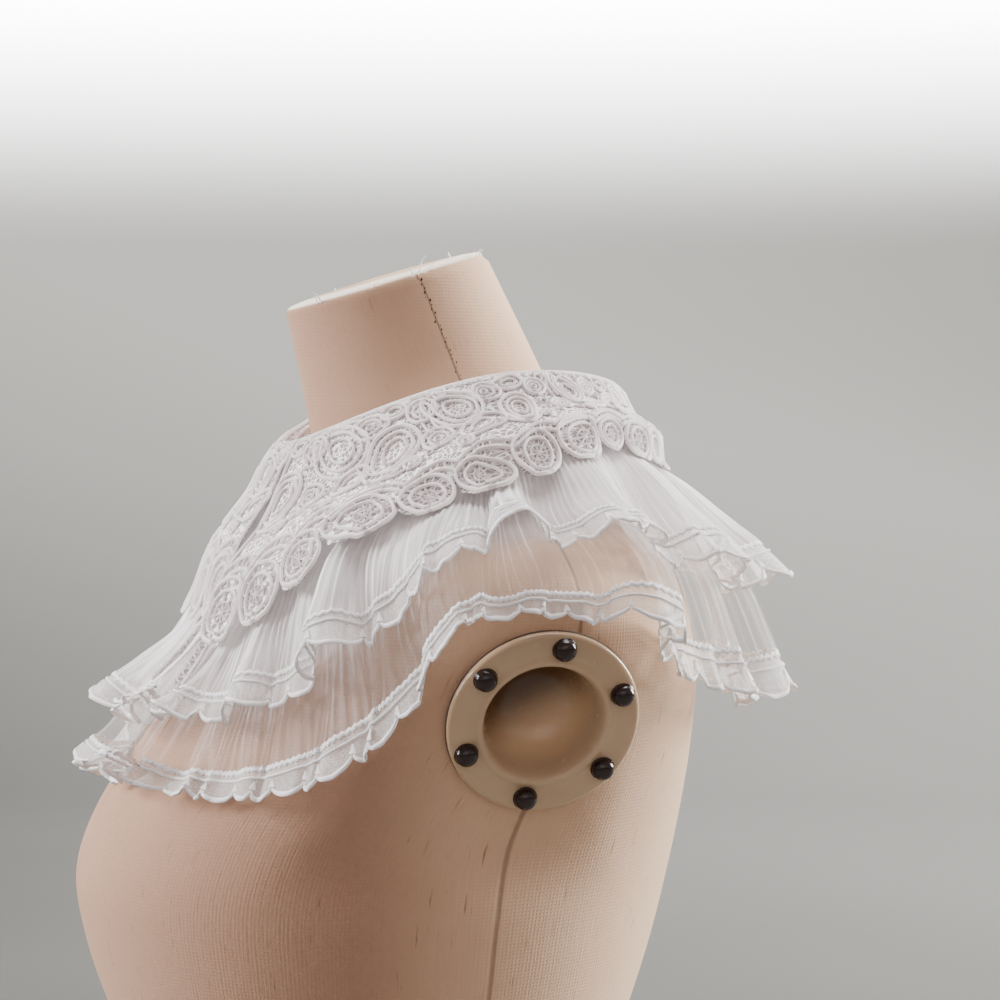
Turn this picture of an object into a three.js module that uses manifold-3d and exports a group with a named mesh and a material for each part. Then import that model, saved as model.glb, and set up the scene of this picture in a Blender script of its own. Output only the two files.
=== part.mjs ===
// Detachable collar on a limbless dress form: a corded-lace collar over two pleated frills,
// each frill edged with scalloped lace, worn round the neck of a smooth padded torso.
// Millimetres, +Z up. The form faces -Y and its left side is +X. The origin is the middle of its base.
import * as THREE from 'three';
import { mergeVertices } from 'three/addons/utils/BufferGeometryUtils.js';
import Module from 'manifold-3d';

const wasm = await Module();
wasm.setup();

// ---------------------------------------------------------------- driving dimensions
const CLOTH_WALL = 1.0;
const LACE_WALL = 1.6;
const BAND_WALL = 1.4;
const SEAM_GAP = 0.6;

const OPENING_TURN = 20; // degrees by which the front opening is turned towards the left shoulder
const OPENING_HALF = 1.3; // degrees from the middle of the opening to each front edge
const BACK_SEAM_HALF = 0.16; // degrees from the lace's back seam to each half

const FRILL_TOP = 6; // cloth distance from the neck seam to the gathered top of both frills
const LACE_DEPTH = 84; // from the neck seam down to the tip of a lace scallop
const LACE_NOTCH = 72; // from the neck seam down to the notch between two lace scallops
const LACE_SCALLOPS = 30;
const UPPER_DEPTH = 130;
const LOWER_DEPTH = 166;
const EDGING_WIDTH = 16;
const EDGING_NOTCH = 3.6; // depth of the notch between two scallops of the narrow edging
const UPPER_EDGING_SCALLOPS = 76;
const LOWER_EDGING_SCALLOPS = 84;
const UPPER_PLEATS = 60;
const LOWER_PLEATS = 56;
const PLEAT_TOP = 0.35; // half height of a pleat where it is sewn in
const PLEAT_EDGE = 1.1; // half height of a pleat at the hem

const PLATE_RADIUS = 42;
const BOWL_RADIUS = 25;
const BOWL_DEPTH = 22;
const BOLTS = 6;
const BOLT_CIRCLE = 35.5;
const BOLT_RADIUS = 4.6;
const FIRST_BOLT = 14; // degrees from the plate's horizontal line

// Rows of numbers as records, with the names of the columns given once.
const table = (columns, ...rows) =>
  rows.map((row) => Object.fromEntries(columns.map((name, i) => [name, row[i]])));

// Horizontal sections of the form: half width, front and back reach, and how steeply each tilts to the back.
const FORM = [
  { z: 0, half: 158, front: -106, back: 114, slope: 0 },
  { z: 60, half: 160, front: -109, back: 119, slope: 0 },
  { z: 160, half: 126, front: -98, back: 98, slope: 0 },
  { z: 205, half: 113, front: -92, back: 88, slope: 0 },
  { z: 255, half: 119, front: -103, back: 99, slope: 0 },
  { z: 305, half: 130, front: -120, back: 119, slope: 0 },
  { z: 340, half: 137, front: -132, back: 131, slope: 0 },
  { z: 374, half: 141, front: -137, back: 140, slope: 0 },
  { z: 405, half: 146, front: -126, back: 146, slope: 0 },
  { z: 435, half: 156, front: -104, back: 149, slope: 0 },
  { z: 465, half: 167, front: -84, back: 149, slope: 0 },
  { z: 492, half: 172, front: -67, back: 144, slope: 0 },
  { z: 510, half: 168, front: -56, back: 138, slope: 0 },
  { z: 522, half: 156, front: -48, back: 131, slope: 0 },
  { z: 532, half: 137, front: -42, back: 125, slope: 0 },
  { z: 541, half: 112, front: -37, back: 118, slope: 0 },
  { z: 550, half: 88, front: -33, back: 110, slope: 0 },
  { z: 561, half: 70, front: -29.5, back: 101, slope: 0.03 },
  { z: 575, half: 60, front: -27, back: 92, slope: 0.12 },
  { z: 592, half: 54, front: -27, back: 82, slope: 0.27 },
  { z: 649, half: 46, front: -39, back: 54, slope: 0.3 },
];
const FORM_COLUMNS = 32;
// Middle of the flat armhole, its downward tilt in degrees, and the heights between which the flat fades out.
const ARMHOLE = { x: 157, y: 40, z: 456, tilt: 22, soften: 12, fadeLow: 365, fadeHigh: 405 };

// Closed curves that the cloth passes through, by its distance from the neck seam. Heights are given at
// the front, over the shoulders and at the back. peak and peakBack say how narrow the rise over a shoulder
// is towards the front and towards the back, and point how much the front draws in to a point.
const DRAPE = table(
  ['s', 'half', 'front', 'back', 'zFront', 'zSide', 'zBack', 'peak', 'peakBack', 'point'],
  [0, 64.5, -31.5, 109, 568, 596, 596, 2, 2, 1],
  [25, 79, -43, 117, 550, 583, 577, 2.2, 2, 1.1],
  [50, 95, -56, 127, 519, 568, 558, 2.8, 2, 1.15],
  [80, 115, -77, 142, 476, 548, 539, 3.4, 2.2, 1.15],
  [105, 135, -93, 152, 456, 531, 521, 4.6, 2.6, 1.15],
  [130, 154, -106, 161, 438, 515, 498, 6, 3, 1.1],
  [150, 166, -112, 166, 425, 506, 472, 8.5, 4, 1.1],
  [168, 174, -118, 170, 412, 497, 449, 12, 5, 1.1],
);

// Ruffle waves: where each crest is (degrees from the front towards the left), half its width, and its
// height at the hem.
const LOWER_FOLDS = [
  { at: -11, width: 9, height: 17 },
  { at: 3, width: 6, height: 13 },
  { at: 18, width: 8, height: 24 },
  { at: 80, width: 12, height: 16 },
  { at: 110, width: 9, height: 24 },
  { at: 136, width: 8, height: 14 },
  { at: 160, width: 9, height: 27 },
  { at: 184, width: 10, height: 18 },
  { at: 207, width: 9, height: 24 },
  { at: 231, width: 10, height: 15 },
  { at: 254, width: 9, height: 20 },
  { at: 280, width: 10, height: 14 },
  { at: 310, width: 9, height: 18 },
  { at: 330, width: 8, height: 12 },
];
const UPPER_FOLDS = [
  { at: -9, width: 8, height: 25 },
  { at: 9, width: 7, height: 13 },
  { at: 27, width: 6, height: 14 },
  { at: 41, width: 6, height: 14 },
  { at: 59, width: 6, height: 23 },
  { at: 91, width: 6, height: 22 },
  { at: 108, width: 8, height: 20 },
  { at: 132, width: 11, height: 24 },
  { at: 156, width: 9, height: 28 },
  { at: 176, width: 8, height: 16 },
  { at: 196, width: 9, height: 25 },
  { at: 216, width: 9, height: 17 },
  { at: 238, width: 9, height: 22 },
  { at: 259, width: 8, height: 14 },
  { at: 279, width: 9, height: 20 },
  { at: 301, width: 8, height: 14 },
  { at: 318, width: 8, height: 17 },
  { at: 335, width: 8, height: 13 },
];
const FOLD_CURL = 0.28; // greatest sideways spread of a crest, as a share of half its width
const CURL_START = 6; // height above the drape from which a crest spreads
const FOLD_START = 44; // cloth distance from the neck seam at which the waves begin

// ---------------------------------------------------------------- small helpers
const radians = (degrees) => (degrees * Math.PI) / 180;
const clamp01 = (t) => Math.min(1, Math.max(0, t));
const smoothMax = (a, b, k) => (a + b + Math.sqrt((a - b) ** 2 + k * k)) / 2;
const vector = (x, y, z) => new THREE.Vector3(x, y, z);

// A smooth value of one column of a table at a place along its key column.
function readTable(rows, key, column, at) {
  let i = 0;
  while (i < rows.length - 2 && at > rows[i + 1][key]) i += 1;
  const slopeAt = (k) => {
    const low = rows[Math.max(0, k - 1)];
    const high = rows[Math.min(rows.length - 1, k + 1)];
    return (high[column] - low[column]) / (high[key] - low[key]);
  };
  const width = rows[i + 1][key] - rows[i][key];
  const t = (at - rows[i][key]) / width;
  if (t < 0) return rows[0][column] + slopeAt(0) * (at - rows[0][key]);
  const t2 = t * t;
  const t3 = t2 * t;
  return (
    (2 * t3 - 3 * t2 + 1) * rows[i][column] +
    (t3 - 2 * t2 + t) * width * slopeAt(i) +
    (3 * t2 - 2 * t3) * rows[i + 1][column] +
    (t3 - t2) * width * slopeAt(i + 1)
  );
}

// A closed solid from a sheet of middle points, thickened both ways along the sheet's own normals.
// rows[j][i] runs along the sheet with i and down it with j. Cells for which isOpen(j, i) holds are left out.
function wallFromSheet(rows, thickness, isOpen = () => false) {
  const count = rows[0].length;
  const depth = rows.length;
  const outer = [];
  const inner = [];
  for (let j = 0; j < depth; j += 1) {
    for (let i = 0; i < count; i += 1) {
      const along = rows[j][Math.min(count - 1, i + 1)].clone().sub(rows[j][Math.max(0, i - 1)]);
      const down = rows[Math.min(depth - 1, j + 1)][i].clone().sub(rows[Math.max(0, j - 1)][i]);
      const normal = down.cross(along).normalize().multiplyScalar(thickness / 2);
      outer.push(rows[j][i].clone().add(normal));
      inner.push(rows[j][i].clone().sub(normal));
    }
  }
  const faces = [];
  const quad = (a, b, c, d) => faces.push(a, b, c, a, c, d);
  const isCloth = (j, i) => j >= 0 && i >= 0 && j < depth - 1 && i < count - 1 && !isOpen(j, i);
  const innerOf = (k) => k + count * depth;
  for (let j = 0; j < depth - 1; j += 1) {
    for (let i = 0; i < count - 1; i += 1) {
      if (!isCloth(j, i)) continue;
      const corners = [j * count + i, (j + 1) * count + i, (j + 1) * count + i + 1, j * count + i + 1];
      const [a, b, c, d] = corners;
      quad(a, b, c, d);
      quad(innerOf(a), innerOf(d), innerOf(c), innerOf(b));
      const beside = [[j, i - 1], [j + 1, i], [j, i + 1], [j - 1, i]];
      beside.forEach(([row, column], edge) => {
        if (isCloth(row, column)) return;
        const from = corners[edge];
        const to = corners[(edge + 1) % 4];
        quad(from, innerOf(from), innerOf(to), to);
      });
    }
  }
  return indexedGeometry([...outer, ...inner], faces);
}

function indexedGeometry(points, faces) {
  const geometry = new THREE.BufferGeometry();
  const positions = new Float32Array(points.flatMap((p) => [p.x, p.y, p.z]));
  geometry.setAttribute('position', new THREE.BufferAttribute(positions, 3));
  geometry.setIndex(faces);
  return geometry;
}

function solidOf(geometry) {
  const bare = geometry.clone();
  bare.deleteAttribute('normal');
  bare.deleteAttribute('uv');
  const merged = mergeVertices(bare, 1e-4);
  return new wasm.Manifold(
    new wasm.Mesh({
      numProp: 3,
      vertProperties: new Float32Array(merged.attributes.position.array),
      triVerts: new Uint32Array(merged.index.array),
    }),
  );
}

function geometryOf(solid) {
  const mesh = solid.getMesh();
  const geometry = new THREE.BufferGeometry();
  geometry.setAttribute('position', new THREE.BufferAttribute(new Float32Array(mesh.vertProperties), 3));
  geometry.setIndex(Array.from(mesh.triVerts));
  return geometry;
}

// ---------------------------------------------------------------- the form
function formSection(z) {
  const read = (column) => readTable(FORM, 'z', column, z);
  const front = read('front');
  const back = read('back');
  return { half: read('half'), middle: (front + back) / 2, depth: (back - front) / 2, slope: read('slope') };
}

const armholeOut = vector(Math.cos(radians(ARMHOLE.tilt)), 0, -Math.sin(radians(ARMHOLE.tilt)));
const armholeMiddle = vector(ARMHOLE.x, ARMHOLE.y, ARMHOLE.z);

// Presses what bulges past the armhole's plane back onto it, with a soft edge, but not below the plate.
function flattenArmhole(point) {
  const hold = clamp01((point.z - ARMHOLE.fadeLow) / (ARMHOLE.fadeHigh - ARMHOLE.fadeLow));
  const side = point.x < 0 ? -1 : 1;
  const mirrored = vector(point.x * side, point.y, point.z);
  const past = mirrored.clone().sub(armholeMiddle).dot(armholeOut);
  const blend = Math.max(ARMHOLE.soften - Math.abs(past), 0) / ARMHOLE.soften;
  const kept = Math.min(past, 0) - (blend * blend * ARMHOLE.soften) / 4;
  mirrored.addScaledVector(armholeOut, (kept - past) * hold * hold * (3 - 2 * hold));
  return vector(mirrored.x * side, mirrored.y, mirrored.z);
}

function formPoint(z, angle) {
  const section = formSection(z);
  const y = section.middle - section.depth * Math.cos(angle);
  const point = vector(section.half * Math.sin(angle), y, z + section.slope * (y - section.middle));
  return z > 560 ? point : flattenArmhole(point);
}

// Signed distance from the form's skin, near enough close to it: below 0 inside.
function formClearance(p) {
  const level = (q) => {
    let z = q.z;
    for (let turn = 0; turn < 4; turn += 1) {
      const section = formSection(z);
      z = q.z - section.slope * (q.y - section.middle);
    }
    const section = formSection(z);
    return Math.hypot(q.x / section.half, (q.y - section.middle) / section.depth) - 1;
  };
  const step = 0.5;
  const here = level(p);
  const gradient = vector(
    (level(vector(p.x + step, p.y, p.z)) - here) / step,
    (level(vector(p.x, p.y + step, p.z)) - here) / step,
    (level(vector(p.x, p.y, p.z + step)) - here) / step,
  );
  const steepness = gradient.length();
  return { distance: here / steepness, away: gradient.divideScalar(steepness) };
}

function formSolid() {
  const levels = FORM.map((row) => row.z);
  const points = [vector(0, 0, 0)];
  for (const z of levels) {
    for (let i = 0; i < FORM_COLUMNS; i += 1) points.push(formPoint(z, (2 * Math.PI * i) / FORM_COLUMNS));
  }
  const top = formSection(levels[levels.length - 1]);
  points.push(vector(0, top.middle, levels[levels.length - 1]));
  const at = (j, i) => 1 + j * FORM_COLUMNS + (i % FORM_COLUMNS);
  const faces = [];
  const last = levels.length - 1;
  for (let i = 0; i < FORM_COLUMNS; i += 1) {
    faces.push(0, at(0, i + 1), at(0, i));
    faces.push(points.length - 1, at(last, i), at(last, i + 1));
    for (let j = 0; j < last; j += 1) {
      faces.push(at(j, i), at(j, i + 1), at(j + 1, i + 1), at(j, i), at(j + 1, i + 1), at(j + 1, i));
    }
  }
  let body = solidOf(indexedGeometry(points, faces));
  for (const side of [1, -1]) {
    const pocket = new THREE.CylinderGeometry(BOWL_RADIUS + 4.5, BOWL_RADIUS + 4.5, BOWL_DEPTH + 24, 20);
    pocket.translate(0, -(BOWL_DEPTH + 24) / 2 + 16, 0);
    placeOnArmhole(pocket, side);
    body = body.subtract(solidOf(pocket));
  }
  return geometryOf(body);
}

// Turns a piece made along +Y so that +Y points out of the armhole, and moves it there.
function placeOnArmhole(geometry, side) {
  const out = vector(armholeOut.x * side, 0, armholeOut.z);
  const turn = new THREE.Quaternion().setFromUnitVectors(vector(0, 1, 0), out);
  geometry.applyQuaternion(turn);
  geometry.translate(armholeMiddle.x * side, armholeMiddle.y, armholeMiddle.z);
  return geometry;
}

function armPlate(side) {
  const seat = 0.4;
  const profile = [
    [PLATE_RADIUS, seat],
    [PLATE_RADIUS, 3.2],
    [PLATE_RADIUS - 3, 4.6],
    [BOWL_RADIUS + 1.5, 0.6],
    [BOWL_RADIUS, -4],
    [BOWL_RADIUS * 0.84, -BOWL_DEPTH * 0.72],
    [BOWL_RADIUS * 0.46, -BOWL_DEPTH * 0.96],
    [0, -BOWL_DEPTH],
    [0, -BOWL_DEPTH - 2.5],
    [BOWL_RADIUS * 0.6, -BOWL_DEPTH - 1.5],
    [BOWL_RADIUS + 2.6, -5],
    [BOWL_RADIUS + 3.8, seat],
    [PLATE_RADIUS, seat],
  ];
  const lathe = new THREE.LatheGeometry(profile.map(([r, h]) => new THREE.Vector2(r, h)), 20);
  return placeOnArmhole(lathe, side);
}

function armBolt(side, number) {
  const profile = [
    [0, 0],
    [BOLT_RADIUS, 0],
    [BOLT_RADIUS, 2],
    [0, 5.6],
  ];
  const head = new THREE.LatheGeometry(profile.map(([r, h]) => new THREE.Vector2(r, h)), 8);
  const angle = radians(FIRST_BOLT + (360 / BOLTS) * number);
  head.translate(BOLT_CIRCLE * Math.sin(angle), 4.9, BOLT_CIRCLE * Math.cos(angle));
  return placeOnArmhole(head, side);
}

// ---------------------------------------------------------------- the drape that all the cloth follows
function drapeTable(angle, s) {
  const read = (column) => readTable(DRAPE, 's', column, s);
  const front = read('front');
  const back = read('back');
  const share = (1 - Math.cos(angle)) / 2;
  const between = read('zFront') * (1 - share) + read('zBack') * share;
  const rise = read('zSide') - (read('zFront') + read('zBack')) / 2;
  const isFront = Math.cos(angle) > 0;
  const z = between + rise * Math.abs(Math.sin(angle)) ** read(isFront ? 'peak' : 'peakBack');
  const reach = isFront ? Math.cos(angle) ** read('point') : Math.cos(angle);
  return vector(read('half') * Math.sin(angle), (front + back) / 2 - ((back - front) / 2) * reach, z);
}

const LEAST_CLEARANCE = 2.2;

// The drape, lifted wherever the form would come through it.
function drapePoint(angle, s) {
  const point = drapeTable(angle, s);
  for (let turn = 0; turn < 3; turn += 1) {
    const { distance, away } = formClearance(point);
    const lift = smoothMax(LEAST_CLEARANCE - distance, 0, 1.5);
    point.addScaledVector(away, turn === 0 ? lift : Math.max(LEAST_CLEARANCE - distance, 0));
  }
  return point;
}

function drapeNormal(angle, s) {
  const along = drapeTable(angle + 0.02, s).sub(drapeTable(angle - 0.02, s));
  const down = drapeTable(angle, s + 1).sub(drapeTable(angle, s - 1));
  return down.cross(along).normalize();
}

function nearestTurn(from, to) {
  return ((((from - to) % 360) + 540) % 360) - 180;
}

// Height of a table's ruffle waves at a place, and how far they push sideways.
function foldAt(folds, degrees, s, depth) {
  const growth = clamp01((s - FOLD_START) / (depth - FOLD_START)) ** 1.25;
  let height = 0;
  let sway = 0;
  for (const fold of folds) {
    const q = nearestTurn(degrees, fold.at) / fold.width;
    if (Math.abs(q) < 1) {
      height += fold.height * growth * Math.cos((Math.PI * q) / 2) ** 2;
      sway += fold.width * Math.sin(Math.PI * q);
    }
  }
  return { height, sway };
}

const lowerLift = (degrees, s) => 1.5 + foldAt(LOWER_FOLDS, degrees, s, LOWER_DEPTH).height;

// The upper frill rides on the lower one, wherever its own waves are lower.
function upperLift(degrees, s) {
  const spacing = 3.3 + 1.9 * clamp01((s - FRILL_TOP) / 90);
  const own = 4 + foldAt(UPPER_FOLDS, degrees, s, UPPER_DEPTH).height;
  return smoothMax(lowerLift(degrees, s) + spacing, own, 2);
}

// The stiff lace lies over the crests of the upper frill and bridges its troughs.
const laceLift = (degrees, s) => {
  const under = [-6, -3, 0, 3, 6].map((turn) => upperLift(degrees + turn, s));
  return Math.max(...under) + 5.2;
};

// A point of the cloth at an angle, a distance from the neck seam, and a height above the drape.
function clothPoint(degrees, s, lift) {
  const { sway } = foldAt(UPPER_FOLDS, degrees, s, UPPER_DEPTH);
  const beyond = Math.max(0, lift - CURL_START);
  const angle = radians(degrees + (FOLD_CURL * sway * beyond) / (beyond + 10));
  return drapePoint(angle, s).addScaledVector(drapeNormal(angle, s), lift);
}

const firstDegree = OPENING_TURN + OPENING_HALF;
const lastDegree = OPENING_TURN + 360 - OPENING_HALF;
const along = (share) => firstDegree + (lastDegree - firstDegree) * share;

// ---------------------------------------------------------------- frills and their edgings
function frill(pleats, levels, depth, liftAt) {
  const columns = pleats * 2;
  const sheet = levels.map((s) => {
    const pleat = PLEAT_TOP + (PLEAT_EDGE - PLEAT_TOP) * clamp01((s - FRILL_TOP) / (depth - FRILL_TOP));
    return Array.from({ length: columns + 1 }, (_, i) => {
      const degrees = along(i / columns);
      return clothPoint(degrees, s, liftAt(degrees, s) + (i % 2 === 0 ? -pleat : pleat));
    });
  });
  return wallFromSheet(sheet, CLOTH_WALL);
}

// Scalloped lace sewn to a frill's hem: three steps of its edge make one scallop.
function edging(scallops, top, depth, liftAt) {
  const steps = scallops * 3;
  const hems = [0, 1, 1];
  const sheet = [0, 1].map((row) =>
    Array.from({ length: steps + 1 }, (_, i) => {
      const degrees = along(i / steps);
      const edge = depth - EDGING_NOTCH * (1 - hems[i % 3]);
      const s = row === 0 ? top : edge;
      return clothPoint(degrees, s, liftAt(degrees, s));
    }),
  );
  return wallFromSheet(sheet, CLOTH_WALL);
}

// ---------------------------------------------------------------- the lace collar
// Levels of the lace from its inner turning to its hem, and the openwork between each level and the next:
// every column of a scallop's four that is open there.
const LACE_LEVELS = [
  { v: -4, open: [] },
  { v: -1, open: [] },
  { v: 8, open: [] },
  { v: 17, open: [2] },
  { v: 23, open: [] },
  { v: 33, open: [0, 3] },
  { v: 39, open: [] },
  { v: 50, open: [1] },
  { v: 55, open: [] },
];
const LACE_COLUMNS = [0, 0.17, 0.5, 0.83];

// How much of its full depth the lace reaches at an angle: its hem is drawn up behind and on the right.
const LACE_REACH = [
  { at: 20, share: 1 },
  { at: 60, share: 1 },
  { at: 92, share: 0.98 },
  { at: 122, share: 0.66 },
  { at: 240, share: 0.66 },
  { at: 300, share: 0.8 },
  { at: 380, share: 0.8 },
];

// A point of the lace at a distance v below the roll; above the roll it turns inwards to the neckband.
function lacePoint(degrees, v) {
  if (v > 8) {
    const s = 8 + (v - 8) * readTable(LACE_REACH, 'at', 'share', degrees);
    return clothPoint(degrees, s, laceLift(degrees, s));
  }
  const turn = (Math.PI / 2) * clamp01((8 - v) / 12);
  const lift = laceLift(degrees, 8) * Math.cos(turn) - 2 * Math.sin(turn);
  return clothPoint(degrees, 8 * (1 - Math.sin(turn)) ** 1.5 - 4 * Math.sin(turn) ** 2, lift);
}

function laceHalf(first, last) {
  const scallops = LACE_SCALLOPS / 2;
  const steps = scallops * 4;
  const degreesAt = (i) => first + ((last - first) * (Math.floor(i / 4) + LACE_COLUMNS[i % 4])) / scallops;
  const hemAt = (i) => LACE_NOTCH + (LACE_DEPTH - LACE_NOTCH) * Math.sin(Math.PI * LACE_COLUMNS[i % 4]) ** 0.6;
  const row = (depthAt) => Array.from({ length: steps + 1 }, (_, i) => lacePoint(degreesAt(i), depthAt(i)));
  const rows = [...LACE_LEVELS.map(({ v }) => row(() => v)), row(hemAt)];
  const isOpen = (j, i) => LACE_LEVELS[j].open.includes(i % 4) && i > 0 && i < steps - 1;
  return wallFromSheet(rows, LACE_WALL, isOpen);
}

// ---------------------------------------------------------------- the neckband
const BAND_FOOT = { half: 68, front: -34.5, back: 104, zFront: 558, zSide: 579, zBack: 574 };

function bandFoot(degrees) {
  const angle = radians(degrees);
  const share = (1 - Math.cos(angle)) / 2;
  const rise = BAND_FOOT.zSide - (BAND_FOOT.zFront + BAND_FOOT.zBack) / 2;
  const { half, front, back, zFront, zBack } = BAND_FOOT;
  return vector(
    half * Math.sin(angle),
    (front + back) / 2 - ((back - front) / 2) * Math.cos(angle),
    zFront * (1 - share) + zBack * share + rise * Math.sin(angle) ** 2,
  );
}

function neckband() {
  const steps = 36;
  const turns = Array.from({ length: steps + 1 }, (_, i) => along(i / steps));
  const underRoll = LACE_WALL / 2 + SEAM_GAP;
  const top = turns.map((degrees) => lacePoint(degrees, LACE_LEVELS[0].v).add(vector(0, 0, -underRoll)));
  return wallFromSheet([top, turns.map(bandFoot)], BAND_WALL);
}

// Narrow strips of lace down both front edges of the upper frill.
const STRIP = { top: 87, topRight: 72, bottom: 111, width: 3.6, lift: 3.4 };

function frontStrip(edgeDegrees, towards, top) {
  const sheet = [0, 0.33, 0.67, 1].map((down) => {
    const s = top + (STRIP.bottom - top) * down;
    const columns = [0, 0.5, 1].map((across) => {
      const degrees = edgeDegrees + towards * (0.3 + STRIP.width * across);
      return clothPoint(degrees, s, upperLift(degrees, s) + STRIP.lift);
    });
    return towards > 0 ? columns : columns.reverse();
  });
  return wallFromSheet(sheet, CLOTH_WALL);
}

// ---------------------------------------------------------------- the assembly
const finish = {
  formCloth: new THREE.MeshStandardMaterial({ color: 0xcbb49a, roughness: 0.85, metalness: 0 }),
  plate: new THREE.MeshStandardMaterial({ color: 0xd9cbb0, roughness: 0.35, metalness: 0 }),
  bolt: new THREE.MeshStandardMaterial({ color: 0x1b1412, roughness: 0.2, metalness: 0.4 }),
  chiffon: new THREE.MeshStandardMaterial({ color: 0xf1eff0, roughness: 0.8, metalness: 0 }),
  edging: new THREE.MeshStandardMaterial({ color: 0xf6f4f4, roughness: 0.75, metalness: 0 }),
  lace: new THREE.MeshStandardMaterial({ color: 0xf4f2f2, roughness: 0.8, metalness: 0 }),
};

const collarOnForm = new THREE.Group();

function add(name, geometry, material) {
  const mesh = new THREE.Mesh(geometry, material);
  mesh.name = name;
  collarOnForm.add(mesh);
}

const upperHem = UPPER_DEPTH - EDGING_WIDTH;
const lowerHem = LOWER_DEPTH - EDGING_WIDTH;
const lowerLevels = [FRILL_TOP, 36, 70, 103, 127, lowerHem];
const upperLevels = [FRILL_TOP, 36, 62, 90, upperHem];
const backSeam = OPENING_TURN + 180;

add('dress_form', formSolid(), finish.formCloth);
for (const [side, word] of [[1, 'left'], [-1, 'right']]) {
  add(`arm_plate_${word}`, armPlate(side), finish.plate);
  for (let n = 0; n < BOLTS; n += 1) add(`plate_bolt_${word}_${n + 1}`, armBolt(side, n), finish.bolt);
}
add('neckband', neckband(), finish.chiffon);
add('lower_frill', frill(LOWER_PLEATS, lowerLevels, LOWER_DEPTH, lowerLift), finish.chiffon);
add('lower_edging', edging(LOWER_EDGING_SCALLOPS, lowerHem + SEAM_GAP, LOWER_DEPTH, lowerLift), finish.edging);
add('upper_frill', frill(UPPER_PLEATS, upperLevels, UPPER_DEPTH, upperLift), finish.chiffon);
add('upper_edging', edging(UPPER_EDGING_SCALLOPS, upperHem + SEAM_GAP, UPPER_DEPTH, upperLift), finish.edging);
add('lace_collar_left', laceHalf(firstDegree, backSeam - BACK_SEAM_HALF), finish.lace);
add('lace_collar_right', laceHalf(backSeam + BACK_SEAM_HALF, lastDegree), finish.lace);
add('front_strip_left', frontStrip(firstDegree, 1, STRIP.top), finish.lace);
add('front_strip_right', frontStrip(lastDegree, -1, STRIP.topRight), finish.lace);

export default collarOnForm;
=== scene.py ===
import math
from functools import partialmethod

import bpy
import numpy as np
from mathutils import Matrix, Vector


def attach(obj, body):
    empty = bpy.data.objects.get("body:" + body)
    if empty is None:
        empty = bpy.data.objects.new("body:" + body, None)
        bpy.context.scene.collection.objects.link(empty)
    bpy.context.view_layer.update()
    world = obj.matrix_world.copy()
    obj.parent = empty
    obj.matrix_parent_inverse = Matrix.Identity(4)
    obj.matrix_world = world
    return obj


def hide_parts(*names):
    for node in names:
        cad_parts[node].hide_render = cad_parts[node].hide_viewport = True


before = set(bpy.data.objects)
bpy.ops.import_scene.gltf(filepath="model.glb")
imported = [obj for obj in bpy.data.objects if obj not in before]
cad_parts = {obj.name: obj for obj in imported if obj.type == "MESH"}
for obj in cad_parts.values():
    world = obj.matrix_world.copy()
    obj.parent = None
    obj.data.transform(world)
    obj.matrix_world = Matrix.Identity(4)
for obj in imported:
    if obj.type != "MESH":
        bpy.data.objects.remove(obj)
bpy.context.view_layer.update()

MM = 0.001
TAU = 2 * math.pi

# ---------------- the collar's dimensions, as in its solids
OPENING_TURN = 20
OPENING_HALF = 1.3
BACK_SEAM_HALF = 0.16
FRILL_TOP = 6
UPPER_DEPTH = 130
LOWER_DEPTH = 166
EDGING_WIDTH = 16
LACE_TIP = 87
LACE_NOTCH = 74
FIRST = OPENING_TURN + OPENING_HALF
LAST = OPENING_TURN + 360 - OPENING_HALF
BACK_SEAM = OPENING_TURN + 180

# z, half width, front, back, slope
FORM = np.array([
    (0, 158, -106, 114, 0), (60, 160, -109, 119, 0), (160, 126, -98, 98, 0), (205, 113, -92, 88, 0),
    (255, 119, -103, 99, 0), (305, 130, -120, 119, 0), (340, 137, -132, 131, 0), (374, 141, -137, 140, 0),
    (405, 146, -126, 146, 0), (435, 156, -104, 149, 0), (465, 167, -84, 149, 0), (492, 172, -67, 144, 0),
    (510, 168, -56, 138, 0), (522, 156, -48, 131, 0), (532, 137, -42, 125, 0), (541, 112, -37, 118, 0),
    (550, 88, -33, 110, 0), (561, 70, -29.5, 101, 0.03), (575, 60, -27, 92, 0.12), (592, 54, -27, 82, 0.27),
    (649, 46, -39, 54, 0.3),
], float)
ARMHOLE = {"x": 157, "y": 40, "z": 456, "tilt": 22, "soften": 12, "fade_low": 365, "fade_high": 405}

# s, half width, front, back, z at the front, over the shoulder and at the back, peak, peak behind, point
DRAPE = np.array([
    (0, 64.5, -31.5, 109, 568, 596, 596, 2, 2, 1),
    (25, 79, -43, 117, 550, 583, 577, 2.2, 2, 1.1),
    (50, 95, -56, 127, 519, 568, 558, 2.8, 2, 1.15),
    (80, 115, -77, 142, 476, 548, 539, 3.4, 2.2, 1.15),
    (105, 135, -93, 152, 456, 531, 521, 4.6, 2.6, 1.15),
    (130, 154, -106, 161, 438, 515, 498, 6, 3, 1.1),
    (150, 166, -112, 166, 425, 506, 472, 8.5, 4, 1.1),
    (168, 174, -118, 170, 412, 497, 449, 12, 5, 1.1),
], float)

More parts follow.
